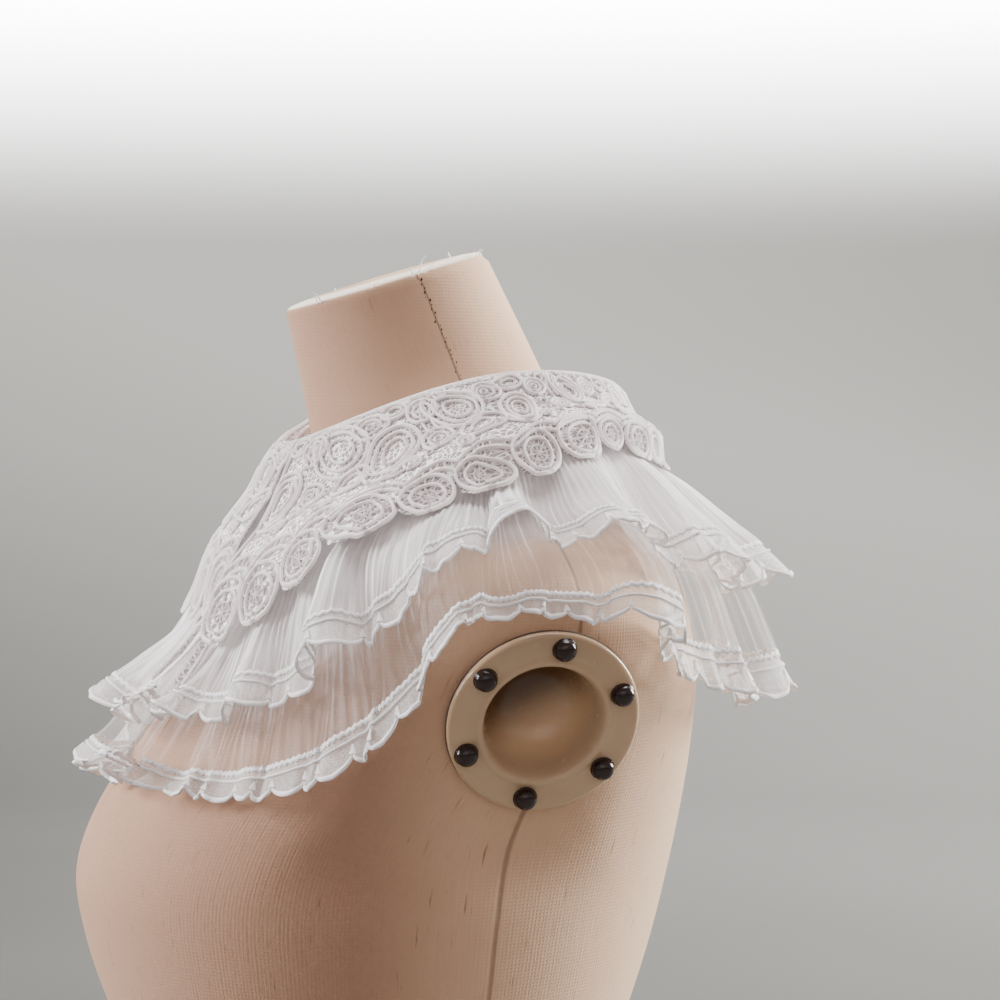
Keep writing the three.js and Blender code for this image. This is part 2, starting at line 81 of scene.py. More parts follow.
# crest's angle, half its width, its height at the hem
LOWER_FOLDS = [
    (-11, 9, 17), (3, 6, 13), (18, 8, 24), (80, 12, 16), (110, 9, 24), (136, 8, 14), (160, 9, 27),
    (184, 10, 18), (207, 9, 24), (231, 10, 15), (254, 9, 20), (280, 10, 14), (310, 9, 18), (330, 8, 12),
]
UPPER_FOLDS = [
    (-9, 8, 25), (9, 7, 13), (27, 6, 14), (41, 6, 14), (59, 6, 23), (91, 6, 22), (108, 8, 20),
    (132, 11, 24), (156, 9, 28), (176, 8, 16), (196, 9, 25), (216, 9, 17), (238, 9, 22), (259, 8, 14),
    (279, 9, 20), (301, 8, 14), (318, 8, 17), (335, 8, 13),
]
FOLD_CURL = 0.28
CURL_START = 6
FOLD_START = 44
LEAST_CLEARANCE = 2.2
LACE_REACH = np.array([
    (20, 1), (60, 1), (92, 0.98), (122, 0.66), (240, 0.66), (300, 0.8), (380, 0.8),
], float)

# ---------------- what only the looks have
# angle, half width and amount of the places where the hems are fullest
FULL_PLACES = [(FIRST, 15, 1.5), (LAST, 15, 1.4), (88, 14, 0.5), (146, 24, 1.0), (235, 22, 0.9)]
LOWER_PLEATS, UPPER_PLEATS = 250, 290
LOWER_SCALLOPS, UPPER_SCALLOPS = 84, 76
LACE_SCALLOPS = 15
LACE_ROLL = 8
CORD_LIFT = 0.35
SEAM_NECK, SEAM_SIDE, ROUND = 188.0, 196.4, 700.0
PLATE_SEGMENTS, BOLT_SEGMENTS = 96, 28
BOLTS, BOLT_TURN, BOLT_CIRCLE, BOLT_FOOT = 6, 14, 35.5, 4.2
WALL_RADIUS, WALL_TOP = 4000, 3400
CAMERA_TARGET = (0, 0.0637, 0.5448)
CAMERA_DISTANCE, CAMERA_TURN, CAMERA_RISE, CAMERA_LENS = 1.4, 15, 1.5, 105.84


# ---------------- the shape that all the cloth follows
def spread(*parts):
    """Arrays that are stretched to one shape and stacked along a new last axis."""
    return np.stack(np.broadcast_arrays(*parts), -1)


def read_table(rows, at):
    """Smooth values of a table's other columns at places along its first column."""
    at = np.asarray(at, float)
    key, last = rows[:, 0], len(rows) - 1
    low = np.maximum(np.arange(last + 1) - 1, 0)
    high = np.minimum(np.arange(last + 1) + 1, last)
    slope = (rows[high, 1:] - rows[low, 1:]) / (key[high] - key[low])[:, None]
    i = np.clip(np.searchsorted(key, at, side="left") - 1, 0, last - 1)
    width = (key[i + 1] - key[i])[..., None]
    t = (at - key[i])[..., None] / width
    value = (
        (2 * t**3 - 3 * t**2 + 1) * rows[i, 1:]
        + (t**3 - 2 * t**2 + t) * width * slope[i]
        + (3 * t**2 - 2 * t**3) * rows[i + 1, 1:]
        + (t**3 - t**2) * width * slope[i + 1]
    )
    before = rows[0, 1:] + slope[0] * (at - key[0])[..., None]
    return np.moveaxis(np.where(t < 0, before, value), -1, 0)


def form_section(z):
    half, front, back, slope = read_table(FORM, z)
    return half, (front + back) / 2, (back - front) / 2, slope


TILT = math.radians(ARMHOLE["tilt"])
ARMHOLE_OUT = np.array([math.cos(TILT), 0, -math.sin(TILT)])
ARMHOLE_MIDDLE = np.array([ARMHOLE["x"], ARMHOLE["y"], ARMHOLE["z"]], float)


def form_point(z, angle):
    """A point of the form's skin, pressed flat at the armholes."""
    z, angle = np.broadcast_arrays(np.asarray(z, float), np.asarray(angle, float))
    half, middle, depth, slope = form_section(z)
    y = middle - depth * np.cos(angle)
    point = spread(half * np.sin(angle), y, z + slope * (y - middle))
    side = np.where(point[..., 0] < 0, -1.0, 1.0)
    flat = point.copy()
    flat[..., 0] *= side
    past = (flat - ARMHOLE_MIDDLE) @ ARMHOLE_OUT
    soften = ARMHOLE["soften"]
    blend = np.maximum(soften - np.abs(past), 0) / soften
    kept = np.minimum(past, 0) - blend**2 * soften / 4
    hold = ramp(flat[..., 2], ARMHOLE["fade_low"], ARMHOLE["fade_high"] - ARMHOLE["fade_low"])
    hold = hold * hold * (3 - 2 * hold) * (z <= 560)
    flat += ((kept - past) * hold)[..., None] * ARMHOLE_OUT
    flat[..., 0] *= side
    return flat


def form_level(p):
    z = p[..., 2]
    for _ in range(4):
        _, middle, _, slope = form_section(z)
        z = p[..., 2] - slope * (p[..., 1] - middle)
    half, middle, depth, _ = form_section(z)
    return np.hypot(p[..., 0] / half, (p[..., 1] - middle) / depth) - 1


def form_clearance(p):
    here = form_level(p)
    gradient = np.stack([(form_level(p + step) - here) / 0.5 for step in np.eye(3) * 0.5], -1)
    steep = np.linalg.norm(gradient, axis=-1)
    return here / steep, gradient / steep[..., None]


def drape_table(angle, s):
    half, front, back, z_front, z_side, z_back, peak, peak_back, point = read_table(DRAPE, s)
    cos, sin = np.cos(angle), np.sin(angle)
    share = (1 - cos) / 2
    rise = z_side - (z_front + z_back) / 2
    is_front = cos > 0
    z = z_front * (1 - share) + z_back * share + rise * np.abs(sin) ** np.where(is_front, peak, peak_back)
    reach = np.where(is_front, np.abs(cos) ** point, cos)
    return spread(half * sin, (front + back) / 2 - (back - front) / 2 * reach, z)


def bell(at, middle, width):
    return np.exp(-((at - middle) / width) ** 2)


def ramp(value, start, length):
    """Goes from 0, at start, to 1, that length further on."""
    return np.clip((value - start) / length, 0, 1)


def smooth_max(a, b, k):
    return (a + b + np.sqrt((a - b) ** 2 + k * k)) / 2


def unit(v):
    return v / np.maximum(np.linalg.norm(v, axis=-1, keepdims=True), 1e-12)


def drape_grid():
    """The drape and its normal on a fine grid of angle and distance."""
    turns, depths = np.meshgrid(np.radians(np.arange(0, 360.5, 0.5)), np.arange(-7, 172.0, 1.0), indexing="ij")
    point = drape_table(turns, depths)
    for turn in range(3):
        distance, away = form_clearance(point)
        short = LEAST_CLEARANCE - distance
        lift = smooth_max(short, 0, 1.5) if turn == 0 else np.maximum(short, 0)
        point = point + away * lift[..., None]
    along = drape_table(turns + 0.02, depths) - drape_table(turns - 0.02, depths)
    down = drape_table(turns, depths + 1) - drape_table(turns, depths - 1)
    return np.concatenate([point, unit(np.cross(down, along))], -1)


GRID = drape_grid()


def read_grid(grid, row, column):
    """Values of a grid at places between its rows and columns."""
    row = np.clip(row, 0, grid.shape[0] - 1.001)
    column = np.clip(column, 0, grid.shape[1] - 1.001)
    i, j = row.astype(int), column.astype(int)
    u, v = (row - i)[..., None], (column - j)[..., None]
    before = grid[i, j] * (1 - u) + grid[i + 1, j] * u
    after = grid[i, j + 1] * (1 - u) + grid[i + 1, j + 1] * u
    return before * (1 - v) + after * v


def drape_at(degrees, s):
    """Point and normal of the drape, read from the grid."""
    mixed = read_grid(GRID, np.mod(degrees, 360) * 2, s + 7)
    return mixed[..., :3], unit(mixed[..., 3:])


def fold_at(folds, degrees, s, depth):
    growth = ramp(s, FOLD_START, depth - FOLD_START) ** 1.25
    height, sway = 0.0, 0.0
    for at, width, tall in folds:
        q = (np.mod(degrees - at + 180, 360) - 180) / width
        inside = np.abs(q) < 1
        height = height + np.where(inside, tall * growth * np.cos(np.pi * q / 2) ** 2, 0)
        sway = sway + np.where(inside, width * np.sin(np.pi * q), 0)
    return height, sway


def crumple(degrees, s):
    """Small uneven waves shared by all the layers, stronger towards the hems and at the front corners."""
    grow = ramp(s, 30, 110) ** 1.3
    corner = bell(degrees, FIRST, 9) + bell(degrees, LAST, 9)
    waves = (
        0.62 * np.sin(degrees * 0.71 + s * 0.021 + 1.3) + 0.5 * np.sin(degrees * 1.13 - s * 0.034 + 4.0)
        + 0.42 * np.sin(degrees * 1.87 + s * 0.05 + 0.4) + 0.24 * np.sin(degrees * 3.1 - s * 0.07 + 2.2)
    )
    return grow * waves * (0.8 + 1.1 * corner)


def froth(degrees, s, depth, shift):
    """Loose outward curls over the last of a frill."""
    grow = ramp(s, depth - 38, 38) ** 1.4
    full = 0.25 + sum(amount * bell(degrees, at, width) for at, width, amount in FULL_PLACES)
    phase = degrees * 0.88 + 1.3 * np.sin(degrees * 0.37 + shift) + shift
    return grow * full * (4.6 * (1 + np.cos(phase)) / 2 + 2.0 * (1 + np.cos(phase * 1.7 + 1)) / 2)


def lower_lift(degrees, s):
    return 1.5 + fold_at(LOWER_FOLDS, degrees, s, LOWER_DEPTH)[0] + froth(degrees, s, LOWER_DEPTH, 0.7)


def upper_lift(degrees, s):
    spacing = 3.3 + 1.9 * ramp(s, FRILL_TOP, 90)
    own = 4 + fold_at(UPPER_FOLDS, degrees, s, UPPER_DEPTH)[0]
    return smooth_max(lower_lift(degrees, s) + spacing, own, 2) + froth(degrees, s, UPPER_DEPTH, 2.1)


LACE_MARGIN = 14


def lace_lifts():
    """How high the lace lies, by half degree and millimetre: on the highest folds near it, evened out."""
    turns, depths = np.arange(FIRST - LACE_MARGIN, LAST + LACE_MARGIN, 0.5), np.arange(-6, 96.0, 1.0)
    lift = upper_lift(*np.meshgrid(turns, depths, indexing="ij"))
    highest = np.max([np.roll(lift, k, 0) for k in range(-14, 15)], axis=0)
    return np.mean([np.roll(highest, k, 0) for k in range(-13, 14)], axis=0)[..., None] + 5.2


LACE_LIFTS = lace_lifts()


def lace_lift(degrees, s):
    return read_grid(LACE_LIFTS, (degrees - FIRST + LACE_MARGIN) * 2, s + 6)[..., 0]


def cloth_point(degrees, s, lift):
    degrees, s, lift = np.moveaxis(spread(degrees, s, lift).astype(float), -1, 0)
    sway = fold_at(UPPER_FOLDS, degrees, s, UPPER_DEPTH)[1]
    beyond = np.maximum(0, lift - CURL_START)
    swing = ramp(s, 88, 70) * np.sin(degrees * 0.62 + s * 0.05)
    point, normal = drape_at(degrees + swing + FOLD_CURL * sway * beyond / (beyond + 10), s)
    lift = lift + crumple(degrees, s)
    return point + normal * lift[..., None]


def lace_reach(degrees):
    return read_table(LACE_REACH, degrees)[0]


def lace_point(degrees, v):
    """A point of the lace at v below its roll. Above the roll it turns in to the neckband."""
    degrees, v = np.broadcast_arrays(np.asarray(degrees, float), np.asarray(v, float))
    falls = v > LACE_ROLL
    turn = np.pi / 2 * ramp(-v, -LACE_ROLL, 12)
    sin, cos = np.sin(turn), np.cos(turn)
    down = LACE_ROLL + (v - LACE_ROLL) * lace_reach(degrees)
    s = np.where(falls, down, LACE_ROLL * np.maximum(1 - sin, 0) ** 1.5 - 4 * sin**2)
    swell = 5.5 * np.sin(np.pi * ramp(v, 32, 55)) ** 2
    fallen = lace_lift(degrees, np.where(falls, down, LACE_ROLL)) + swell
    hang = 4.5 * ramp(v, 60, 27) ** 2
    return cloth_point(degrees, s, np.where(falls, fallen, fallen * cos - 2 * sin)) - hang[..., None] * [0, 0, 1]


# ---------------- meshes
def new_mesh(name, points, faces, material, coords=None):
    """A mesh object from points in millimetres. coords is a flat place for every point, which materials read."""
    mesh = bpy.data.meshes.new(name)
    points = np.asarray(points, float).reshape(-1, 3) * MM
    faces = np.asarray(faces, np.int64)
    sides = faces.shape[1]
    mesh.vertices.add(len(points))
    mesh.vertices.foreach_set("co", points.astype(np.float32).ravel())
    mesh.loops.add(faces.size)
    mesh.loops.foreach_set("vertex_index", faces.astype(np.int32).ravel())
    mesh.polygons.add(len(faces))
    mesh.polygons.foreach_set("loop_start", np.arange(len(faces), dtype=np.int32) * sides)
    mesh.polygons.foreach_set("use_smooth", np.full(len(faces), True))
    mesh.update(calc_edges=True)
    mesh.validate()
    if coords is not None:
        coords = np.asarray(coords, float).reshape(len(points), -1)
        flat = np.zeros((len(points), 3), np.float32)
        flat[:, :coords.shape[1]] = coords
        mesh.attributes.new("cloth", "FLOAT_VECTOR", "POINT").data.foreach_set("vector", flat.ravel())
    mesh.materials.append(material)
    piece = bpy.data.objects.new(name, mesh)
    bpy.context.scene.collection.objects.link(piece)
    return piece


def new_piece(name, points, faces, material, node=None, coords=None):
    """A mesh that is part of the object. node is the CAD node that it stands for."""
    piece = new_mesh(name, points, faces, material, coords)
    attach(piece, "root")
    if node:
        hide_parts(node)
    return piece


def grid_faces(rows, columns, closed=False, keep=None):
    """Quads of a grid of points numbered along its rows. keep marks the cells that are there."""
    i, j = np.arange(columns if closed else columns - 1), np.arange(rows - 1)[:, None]
    right, here, below = (i + 1) % columns, j * columns, (j + 1) * columns
    quads = spread(here + i, below + i, below + right, here + right)
    return quads.reshape(-1, 4) if keep is None else quads[keep]


class Surface:
    """A sheet's shape sampled on a fine grid of (across, down), to read points, normals and scale from quickly."""

    def __init__(self, shape, across, down):
        self.start = np.array([across[0], down[0]])
        self.step = np.array([across[1] - across[0], down[1] - down[0]])
        points = shape(*np.meshgrid(across, down, indexing="ij"))
        by_across = np.gradient(points, axis=0) / self.step[0]
        by_down = np.gradient(points, axis=1) / self.step[1]
        across_mm = np.linalg.norm(by_across, axis=-1)
        shared = (by_across * by_down).sum(-1) / across_mm
        down_mm = np.sqrt((by_down**2).sum(-1) - shared**2)
        scale = spread(across_mm, down_mm, shared / across_mm / down_mm)
        self.grid = np.concatenate([points, unit(np.cross(by_down, by_across)), scale], -1)

    def read(self, across, down):
        across, down = np.broadcast_arrays(np.asarray(across, float), np.asarray(down, float))
        row, column = (across - self.start[0]) / self.step[0], (down - self.start[1]) / self.step[1]
        mixed = read_grid(self.grid, row, column)
        return mixed[..., :3], unit(mixed[..., 3:6]), mixed[..., 6:]

    def point(self, across, down):
        return self.read(across, down)[0]

    def scale(self, across, down):
        """Millimetres for a step across, millimetres square to it for a step down, and the lean of that step."""
        return np.moveaxis(self.read(across, down)[2], -1, 0)


class Cords:
    """Collects raised cords that lie on a surface and makes one mesh of them all."""

    def __init__(self, surface, lift=0.0):
        self.surface, self.lift = surface, lift
        self.points, self.faces, self.coords, self.count = [], [], [], 0

    def add(self, across, down, width, height, closed=False, sides=5):
        """A cord along places (across, down) of the surface, half round, of that width and height in millimetres."""
        across, down = np.asarray(across, float), np.asarray(down, float)
        here, normal, _ = self.surface.read(across, down)
        here = here + normal * self.lift
        tangent = unit(np.roll(here, -1, 0) - np.roll(here, 1, 0) if closed else np.gradient(here, axis=0))
        aside = unit(np.cross(normal, tangent))
        normal = np.cross(tangent, aside)
        turn = np.linspace(-np.pi / 2, np.pi / 2, sides)[:, None]
        width, height = (np.broadcast_to(size, len(here))[:, None, None] for size in (width, height))
        arch = here[:, None] + aside[:, None] * np.sin(turn) * width / 2 + normal[:, None] * np.cos(turn) * height
        steps = np.concatenate([[0], np.cumsum(np.linalg.norm(np.diff(here, axis=0), axis=1))])
        count, i = len(here), np.arange(sides - 1)
        row = np.arange(count if closed else count - 1)[:, None]
        first, after = self.count + row * sides + i, self.count + (row + 1) % count * sides + i
        self.points.append(arch.reshape(-1, 3))
        self.faces.append(spread(first, first + 1, after + 1, after).reshape(-1, 4))
        self.coords.append(spread(steps[:, None], np.linspace(0, 1, sides)).reshape(-1, 2))
        self.count += count * sides

    def piece(self, name, material, slot):
        points, faces, coords = (np.concatenate(part) for part in (self.points, self.faces, self.coords))
        return new_piece(name, points, faces, material, coords=coords)


# ---------------- materials
class Value:
    """A node's output that takes arithmetic: every sign adds a Math node."""

    def __init__(self, tree, socket):
        self.tree, self.socket = tree, socket

    def math(self, kind, *others):
        node = self.tree.nodes.new("ShaderNodeMath")
        node.operation = kind
        return connect(self.tree, node, (self, *others), node.outputs[0])

    __add__ = partialmethod(math, "ADD")
    __sub__ = partialmethod(math, "SUBTRACT")
    __mul__ = partialmethod(math, "MULTIPLY")
    __abs__ = partialmethod(math, "ABSOLUTE")
    part = partialmethod(math, "FRACT")
    most = partialmethod(math, "MAXIMUM")

    def clamp(self):
        """Keeps the last result from 0 to 1."""
        self.socket.node.use_clamp = True
        return self

    def span(self, low, high, to_low=0.0, to_high=1.0):
        """Goes smoothly from to_low, at low, to to_high, at high."""
        node = self.tree.nodes.new("ShaderNodeMapRange")
        node.interpolation_type = "SMOOTHSTEP"
        return connect(self.tree, node, (self, low, high, to_low, to_high), node.outputs[0])

    def wave(self, turns):
        """A sine, from 0 to 1, that repeats that many times for each unit."""
        return (self * (TAU * turns)).math("SINE") * 0.5 + 0.5


def connect(tree, node, values, output):
    """Feeds a node's first inputs, each from a Value or a number, and returns its output."""
    for socket, value in zip(node.inputs, values):
        feed(tree, socket, value)
    return Value(tree, output)


def feed(tree, socket, value):
    if isinstance(value, Value):
        tree.links.new(value.socket, socket)
    else:
        socket.default_value = (*value, 1) if isinstance(value, tuple) and socket.type == "RGBA" else value


class Nodes:
    """A material and a short way to write its nodes. Colours are (red, green, blue)."""

    def __init__(self, name):
        self.material = bpy.data.materials.new(name)
        self.material.use_nodes = True
        self.tree = self.material.node_tree
        self.tree.nodes.clear()
        self.shader = self.tree.nodes.new("ShaderNodeBsdfPrincipled")
        output = self.tree.nodes.new("ShaderNodeOutputMaterial")
        self.tree.links.new(self.shader.outputs["BSDF"], output.inputs["Surface"])

    def set(self, **values):
        for name, value in values.items():
            feed(self.tree, self.shader.inputs[name.replace("_", " ")], value)

    def node(self, kind, output, **inputs):
        node = self.tree.nodes.new(kind)
        for name, value in inputs.items():
            feed(self.tree, node.inputs[name], value)
        return node, Value(self.tree, node.outputs[output])

    def mix(self, share, a, b):
        node = self.tree.nodes.new("ShaderNodeMix")
        node.data_type = "RGBA"
        for socket, value in zip((node.inputs["Factor"], node.inputs[6], node.inputs[7]), (share, a, b)):
            feed(self.tree, socket, value)
        return Value(self.tree, node.outputs[2])

    def cloth(self, scale=(1, 1, 1)):
        """The flat place that new_mesh stores in every point, scaled."""
        node, vector = self.node("ShaderNodeAttribute", "Vector")
        node.attribute_name = "cloth"
        return self.node("ShaderNodeMapping", "Vector", Vector=vector, Scale=scale)[1]

    def place(self):
        """The place in metres."""
        return self.node("ShaderNodeTexCoord", "Object")[1]

    def parts(self, vector):
        node = self.node("ShaderNodeSeparateXYZ", "X", Vector=vector)[0]
        return [Value(self.tree, output) for output in node.outputs]

    def noise(self, vector, scale, detail=2.0, rough=0.5):
        return self.node("ShaderNodeTexNoise", "Fac", Vector=vector, Scale=scale, Detail=detail, Roughness=rough)[1]

    def cells(self, scale, jitter):
        """Distance to the edges of uneven cells on the cloth."""
        node, distance = self.node("ShaderNodeTexVoronoi", "Distance", Vector=self.cloth(), Scale=scale,
                                   Randomness=jitter)
        node.feature = "DISTANCE_TO_EDGE"
        return distance

    def bump(self, height, distance, strength=1.0):
        normal = self.node("ShaderNodeBump", "Normal", Height=height, Distance=distance, Strength=strength)[1]
        self.set(Normal=normal)
        return self.material

    def weave(self, per_mm):
        """Threads of a plain weave on the cloth, from 0 to 1."""
        x, y, _ = self.parts(self.cloth())
        return x.wave(per_mm / 2).most(y.wave(per_mm / 2))


def chiffon_material():
    """Sheer crinkled chiffon. cloth is (pleat number, depth in mm): each pleat's fold is denser than its sides."""
    n = Nodes("chiffon")
    pleat, depth, _ = n.parts(n.cloth())
    uneven = n.noise(n.cloth((0.55, 0.018, 1)), 1.0, 3)
    fold = abs((pleat + uneven * 1.1).part() - 0.5)
    second = abs((pleat * 3.0).part() - 0.5)
    strength = n.noise(n.cloth((0.35, 0.012, 1)), 1.0).span(0.3, 0.7, 0.35, 1.0)
    ridge = (fold.span(0.22, 0.48) * strength).most(second.span(0.2, 0.48) * 0.45)
    ridge = ridge * depth.span(140.0, 98.0, 0.24, 1.0)
    thread = depth.wave(1.1)
    sheer = (n.noise(n.cloth((0.12, 0.03, 1)), 1.0) * 0.5 + 0.08) * depth.span(140.0, 100.0, 0.42, 1.0)
    gathered = depth.span(130.0, 60.0, -0.05, 0.5)
    n.set(Base_Color=n.mix(ridge, (0.92, 0.875, 0.88), (0.98, 0.95, 0.95)), Roughness=0.7, Sheen_Weight=0.9,
          Sheen_Roughness=0.4, Specular_IOR_Level=0.2,
          Alpha=(sheer + gathered + thread * 0.05).most(ridge * 0.88).clamp())
    return n.bump(ridge * 0.7 + thread * 0.3, 0.0003, 0.4)


def net_material():
    """Fine net of the narrow edging. cloth is millimetres along and down."""
    n = Nodes("edging_net")
    thread = n.cells(1.9, jitter=0.6).span(0.3, 0.05)
    cloud = n.noise(n.cloth(), 0.12)
    n.set(Base_Color=n.mix(cloud, (0.88, 0.85, 0.86), (0.95, 0.93, 0.935)), Roughness=0.7, Sheen_Weight=0.3,
          Alpha=(thread * 0.5).most(cloud * 0.3 + 0.12).clamp())
    return n.bump(thread, 0.0002, 0.5)


def cord_material(name, colour, threads, slant):
    """Satin-stitched cord: slanting threads laid side by side. cloth is (millimetres along, share of the width)."""
    n = Nodes(name)
    along_it, across, _ = n.parts(n.cloth())
    thread = (along_it + across * slant).wave(threads)
    fuzz = n.noise(n.place(), 900, 3, 0.6)
    cloud = n.noise(n.place(), 40)
    # a tenth darker: the cord's uneven tone, and painted shade in the grooves between the threads
    dim_tone_and_thread_shade = tuple(c * 0.9 for c in colour)
    n.set(Base_Color=n.mix(cloud * 0.5 + thread * 0.4, dim_tone_and_thread_shade, colour), Roughness=0.66, Sheen_Weight=0.7,
          Sheen_Roughness=0.35, Specular_IOR_Level=0.3)
    return n.bump(thread * 0.8 + fuzz * 0.5, 0.00035, 0.8)


def lace_ground_material():
    """The net of small bars between the lace's cords, with its cells dark and mostly opaque: painted shade between
    the cords. cloth is millimetres along and down.
    """
    n = Nodes("lace_ground_and_shade")
    bars = n.cells(0.42, jitter=0.75).span(0.145, 0.06)
    # the dark cell colour is painted shade between the cords; the pale colour is the bars' own
    n.set(Base_Color=n.mix(bars, (0.45, 0.37, 0.39), (0.95, 0.88, 0.89)), Roughness=0.8, Sheen_Weight=0.15,
          Specular_IOR_Level=0.2, Alpha=(bars * 0.36 + 0.64).clamp())
    return n.bump(bars + n.noise(n.place(), 1200) * 0.4, 0.0007, 0.9)


def neckband_material():
    n = Nodes("neckband_tape")
    n.set(Base_Color=n.mix(n.noise(n.place(), 60), (0.84, 0.83, 0.82), (0.93, 0.92, 0.91)), Roughness=0.75,
          Sheen_Weight=0.2)
    return n.bump(n.weave(1.6), 0.0003, 0.7)


def form_material():
    """Undyed cover: fine weave, slubs, stains, pulled threads and a seam up each side, with painted shade towards the
    front, painted light towards the back and a painted highlight, a pale band, round the top edge.
    cloth is (way round in mm, height in mm)."""
    n = Nodes("form_linen")
    x, z, _ = n.parts(n.cloth())
    _, y, _ = n.parts(n.place())
    mirrored = abs(x - ROUND / 2) * -1.0 + ROUND / 2
    seam = abs(mirrored - z.span(420.0, 560.0, SEAM_SIDE, SEAM_NECK)).span(1.5, 0.4)
    slub = n.noise(n.cloth((0.9, 0.035, 1)), 1.0, 3, 0.6)
    stain = n.noise(n.place(), 9, 3, 0.55)
    speck = n.noise(n.cloth((1.3, 0.09, 1)), 0.6).span(0.66, 0.75)
    grain = n.noise(n.place(), 420, 2, 0.6)
    rim = z + y * -300.0
    colour = n.mix((stain * 0.75 + slub * 0.35).clamp(), (0.41, 0.235, 0.143), (0.63, 0.415, 0.275))
    for share, tint in (
        # painted shade: darker towards the front; painted light: paler and less red towards the back
        (y.span(0.02, -0.04, 0.0, 0.8), (0.27, 0.135, 0.088)),
        (y.span(0.06, 0.15, 0.0, 0.3), (0.46, 0.32, 0.2)),
        (speck * 0.6, (0.09, 0.045, 0.025)),
        (seam * 0.6, (0.12, 0.065, 0.04)),
        (grain * 0.16, (0.6, 0.45, 0.32)),
        # painted highlight: a pale band round the neck's top edge
        (rim.span(645.0, 646.2) * rim.span(648.4, 647.4) * 0.75, (0.85, 0.78, 0.68)),
    ):
        colour = n.mix(share, colour, tint)
    n.set(Base_Color=colour, Roughness=0.86, Sheen_Weight=0.12, Sheen_Roughness=0.45, Sheen_Tint=(1.0, 0.93, 0.83),
          Specular_IOR_Level=0.2)
    return n.bump(slub * 0.7 + grain * 0.4 + n.weave(1.3) * 0.4 - seam * 2.5, 0.0004, 0.5)


def plate_material():
    """Cream moulded plastic, polished, with faint scuffs, a painted shadow over its top and painted shade in its
    hollow. cloth is (radius, height) in mm.
    """
    n = Nodes("plate_plastic")
    _, height, _ = n.parts(n.cloth())
    _, y, z = n.parts(n.place())
    cloud = n.noise(n.place(), 30, 3)
    scuff = n.noise(n.place(), 260, 3, 0.7).span(0.62, 0.75)
    colour = n.mix(cloud, (0.39, 0.26, 0.155), (0.5, 0.35, 0.22))
    # painted shadow: darker towards the plate's top, under the frill
    colour = n.mix(z.span(0.474, 0.5, 0.0, 0.45), colour, (0.17, 0.11, 0.055))
    # painted shade in the hollow: near-black at its upper front side, warm brown low down
    hollow_shade = n.mix((z + y * -0.5).span(0.424, 0.452), (0.56, 0.37, 0.215), (0.07, 0.026, 0.004))
    n.set(Base_Color=n.mix(height.span(-3.0, -15.0), colour, hollow_shade), Roughness=scuff * 0.25 + 0.24,
          Specular_IOR_Level=0.35, Coat_Weight=0.22, Coat_Roughness=0.1, Subsurface_Weight=0.12,
          Subsurface_Scale=0.004)
    return n.bump(cloud + scuff * 0.3, 0.0006, 0.35)


def bolt_material():
    n = Nodes("bolt_enamel")
    cloud = n.noise(n.place(), 300)
    n.set(Base_Color=n.mix(cloud, (0.003, 0.0015, 0.0015), (0.022, 0.006, 0.004)), Roughness=0.2,
          Specular_IOR_Level=0.35, Coat_Weight=0.15, Coat_Roughness=0.04)
    return n.bump(cloud, 0.0002, 0.3)


# Near-black seam thread; the same material also paints the shade in the gap round each plate.
def thread_and_gap_shade_material():
    n = Nodes("seam_thread_and_gap_shade")
    along_it, across, _ = n.parts(n.cloth())
    twist = (along_it + across).wave(2.0)
    # darker in the twist's grooves: painted shade between the plies
    n.set(Base_Color=n.mix(twist, (0.03, 0.015, 0.009), (0.07, 0.036, 0.022)), Roughness=0.85)
    return n.bump(twist, 0.0002, 0.6)


def backdrop_material():
    """Pale paper with painted light and shade: darker low down and towards the front of the form, and a painted glow
    high up, as if lit from behind above the form.
    """
    n = Nodes("backdrop_paper")
    x, y, z = n.parts(n.place())
    cloud = n.noise(n.place(), 1.3)
    # painted shade: darker low down and towards the front of the form
    share = z.span(-0.05, 1.0, 0.15, 0.95) + y.most(0.0) * x.span(-0.6, -2.2, 0.0, 0.265)
    share = share * x.span(-1.2, -3.2, 0.45, 1.0).most(z.span(0.0, 0.3))
    share = share.most(x.span(-1.6, -0.6, 0.0, 0.2)) + (cloud - 0.5) * 0.06
    # painted light: the wall glows high up, though it is no lamp
    glow = (z * (1 / 0.48) + -0.87 / 0.48).clamp().math("POWER", 2.5)
    glow = glow * z.span(1.6, 1.42) * x.span(-2.0, -3.2)
    n.set(Base_Color=n.mix(share.clamp(), (0.063, 0.06, 0.054), (0.5, 0.5, 0.48)), Roughness=0.95,
          Specular_IOR_Level=0.1, Emission_Color=(1.0, 1.0, 1.0), Emission_Strength=glow * 14.0)
    return n.bump(cloud, 0.002, 0.2)


CHIFFON = chiffon_material()
NET = net_material()
BRAID = cord_material("edging_braid", (0.98, 0.95, 0.955), threads=0.9, slant=3.0)
LACE_CORD = cord_material("lace_cord", (0.99, 0.895, 0.905), threads=1.4, slant=2.2)
LACE_NET_AND_SHADE = lace_ground_material()
TAPE = neckband_material()
LINEN = form_material()
PLASTIC = plate_material()
ENAMEL = bolt_material()
DARK_THREAD_AND_GAP_SHADE = thread_and_gap_shade_material()


# ---------------- the dress form
# share of the rim's size and rise of the rings over the neck's top
NECK_TOP_RINGS = [(0.997, -3.0), (0.985, -1.4), (0.96, -0.3), (0.92, 0.25), (0.8, 0.9), (0.6, 1.5), (0.35, 1.9),
                  (0.001, 2.1)]


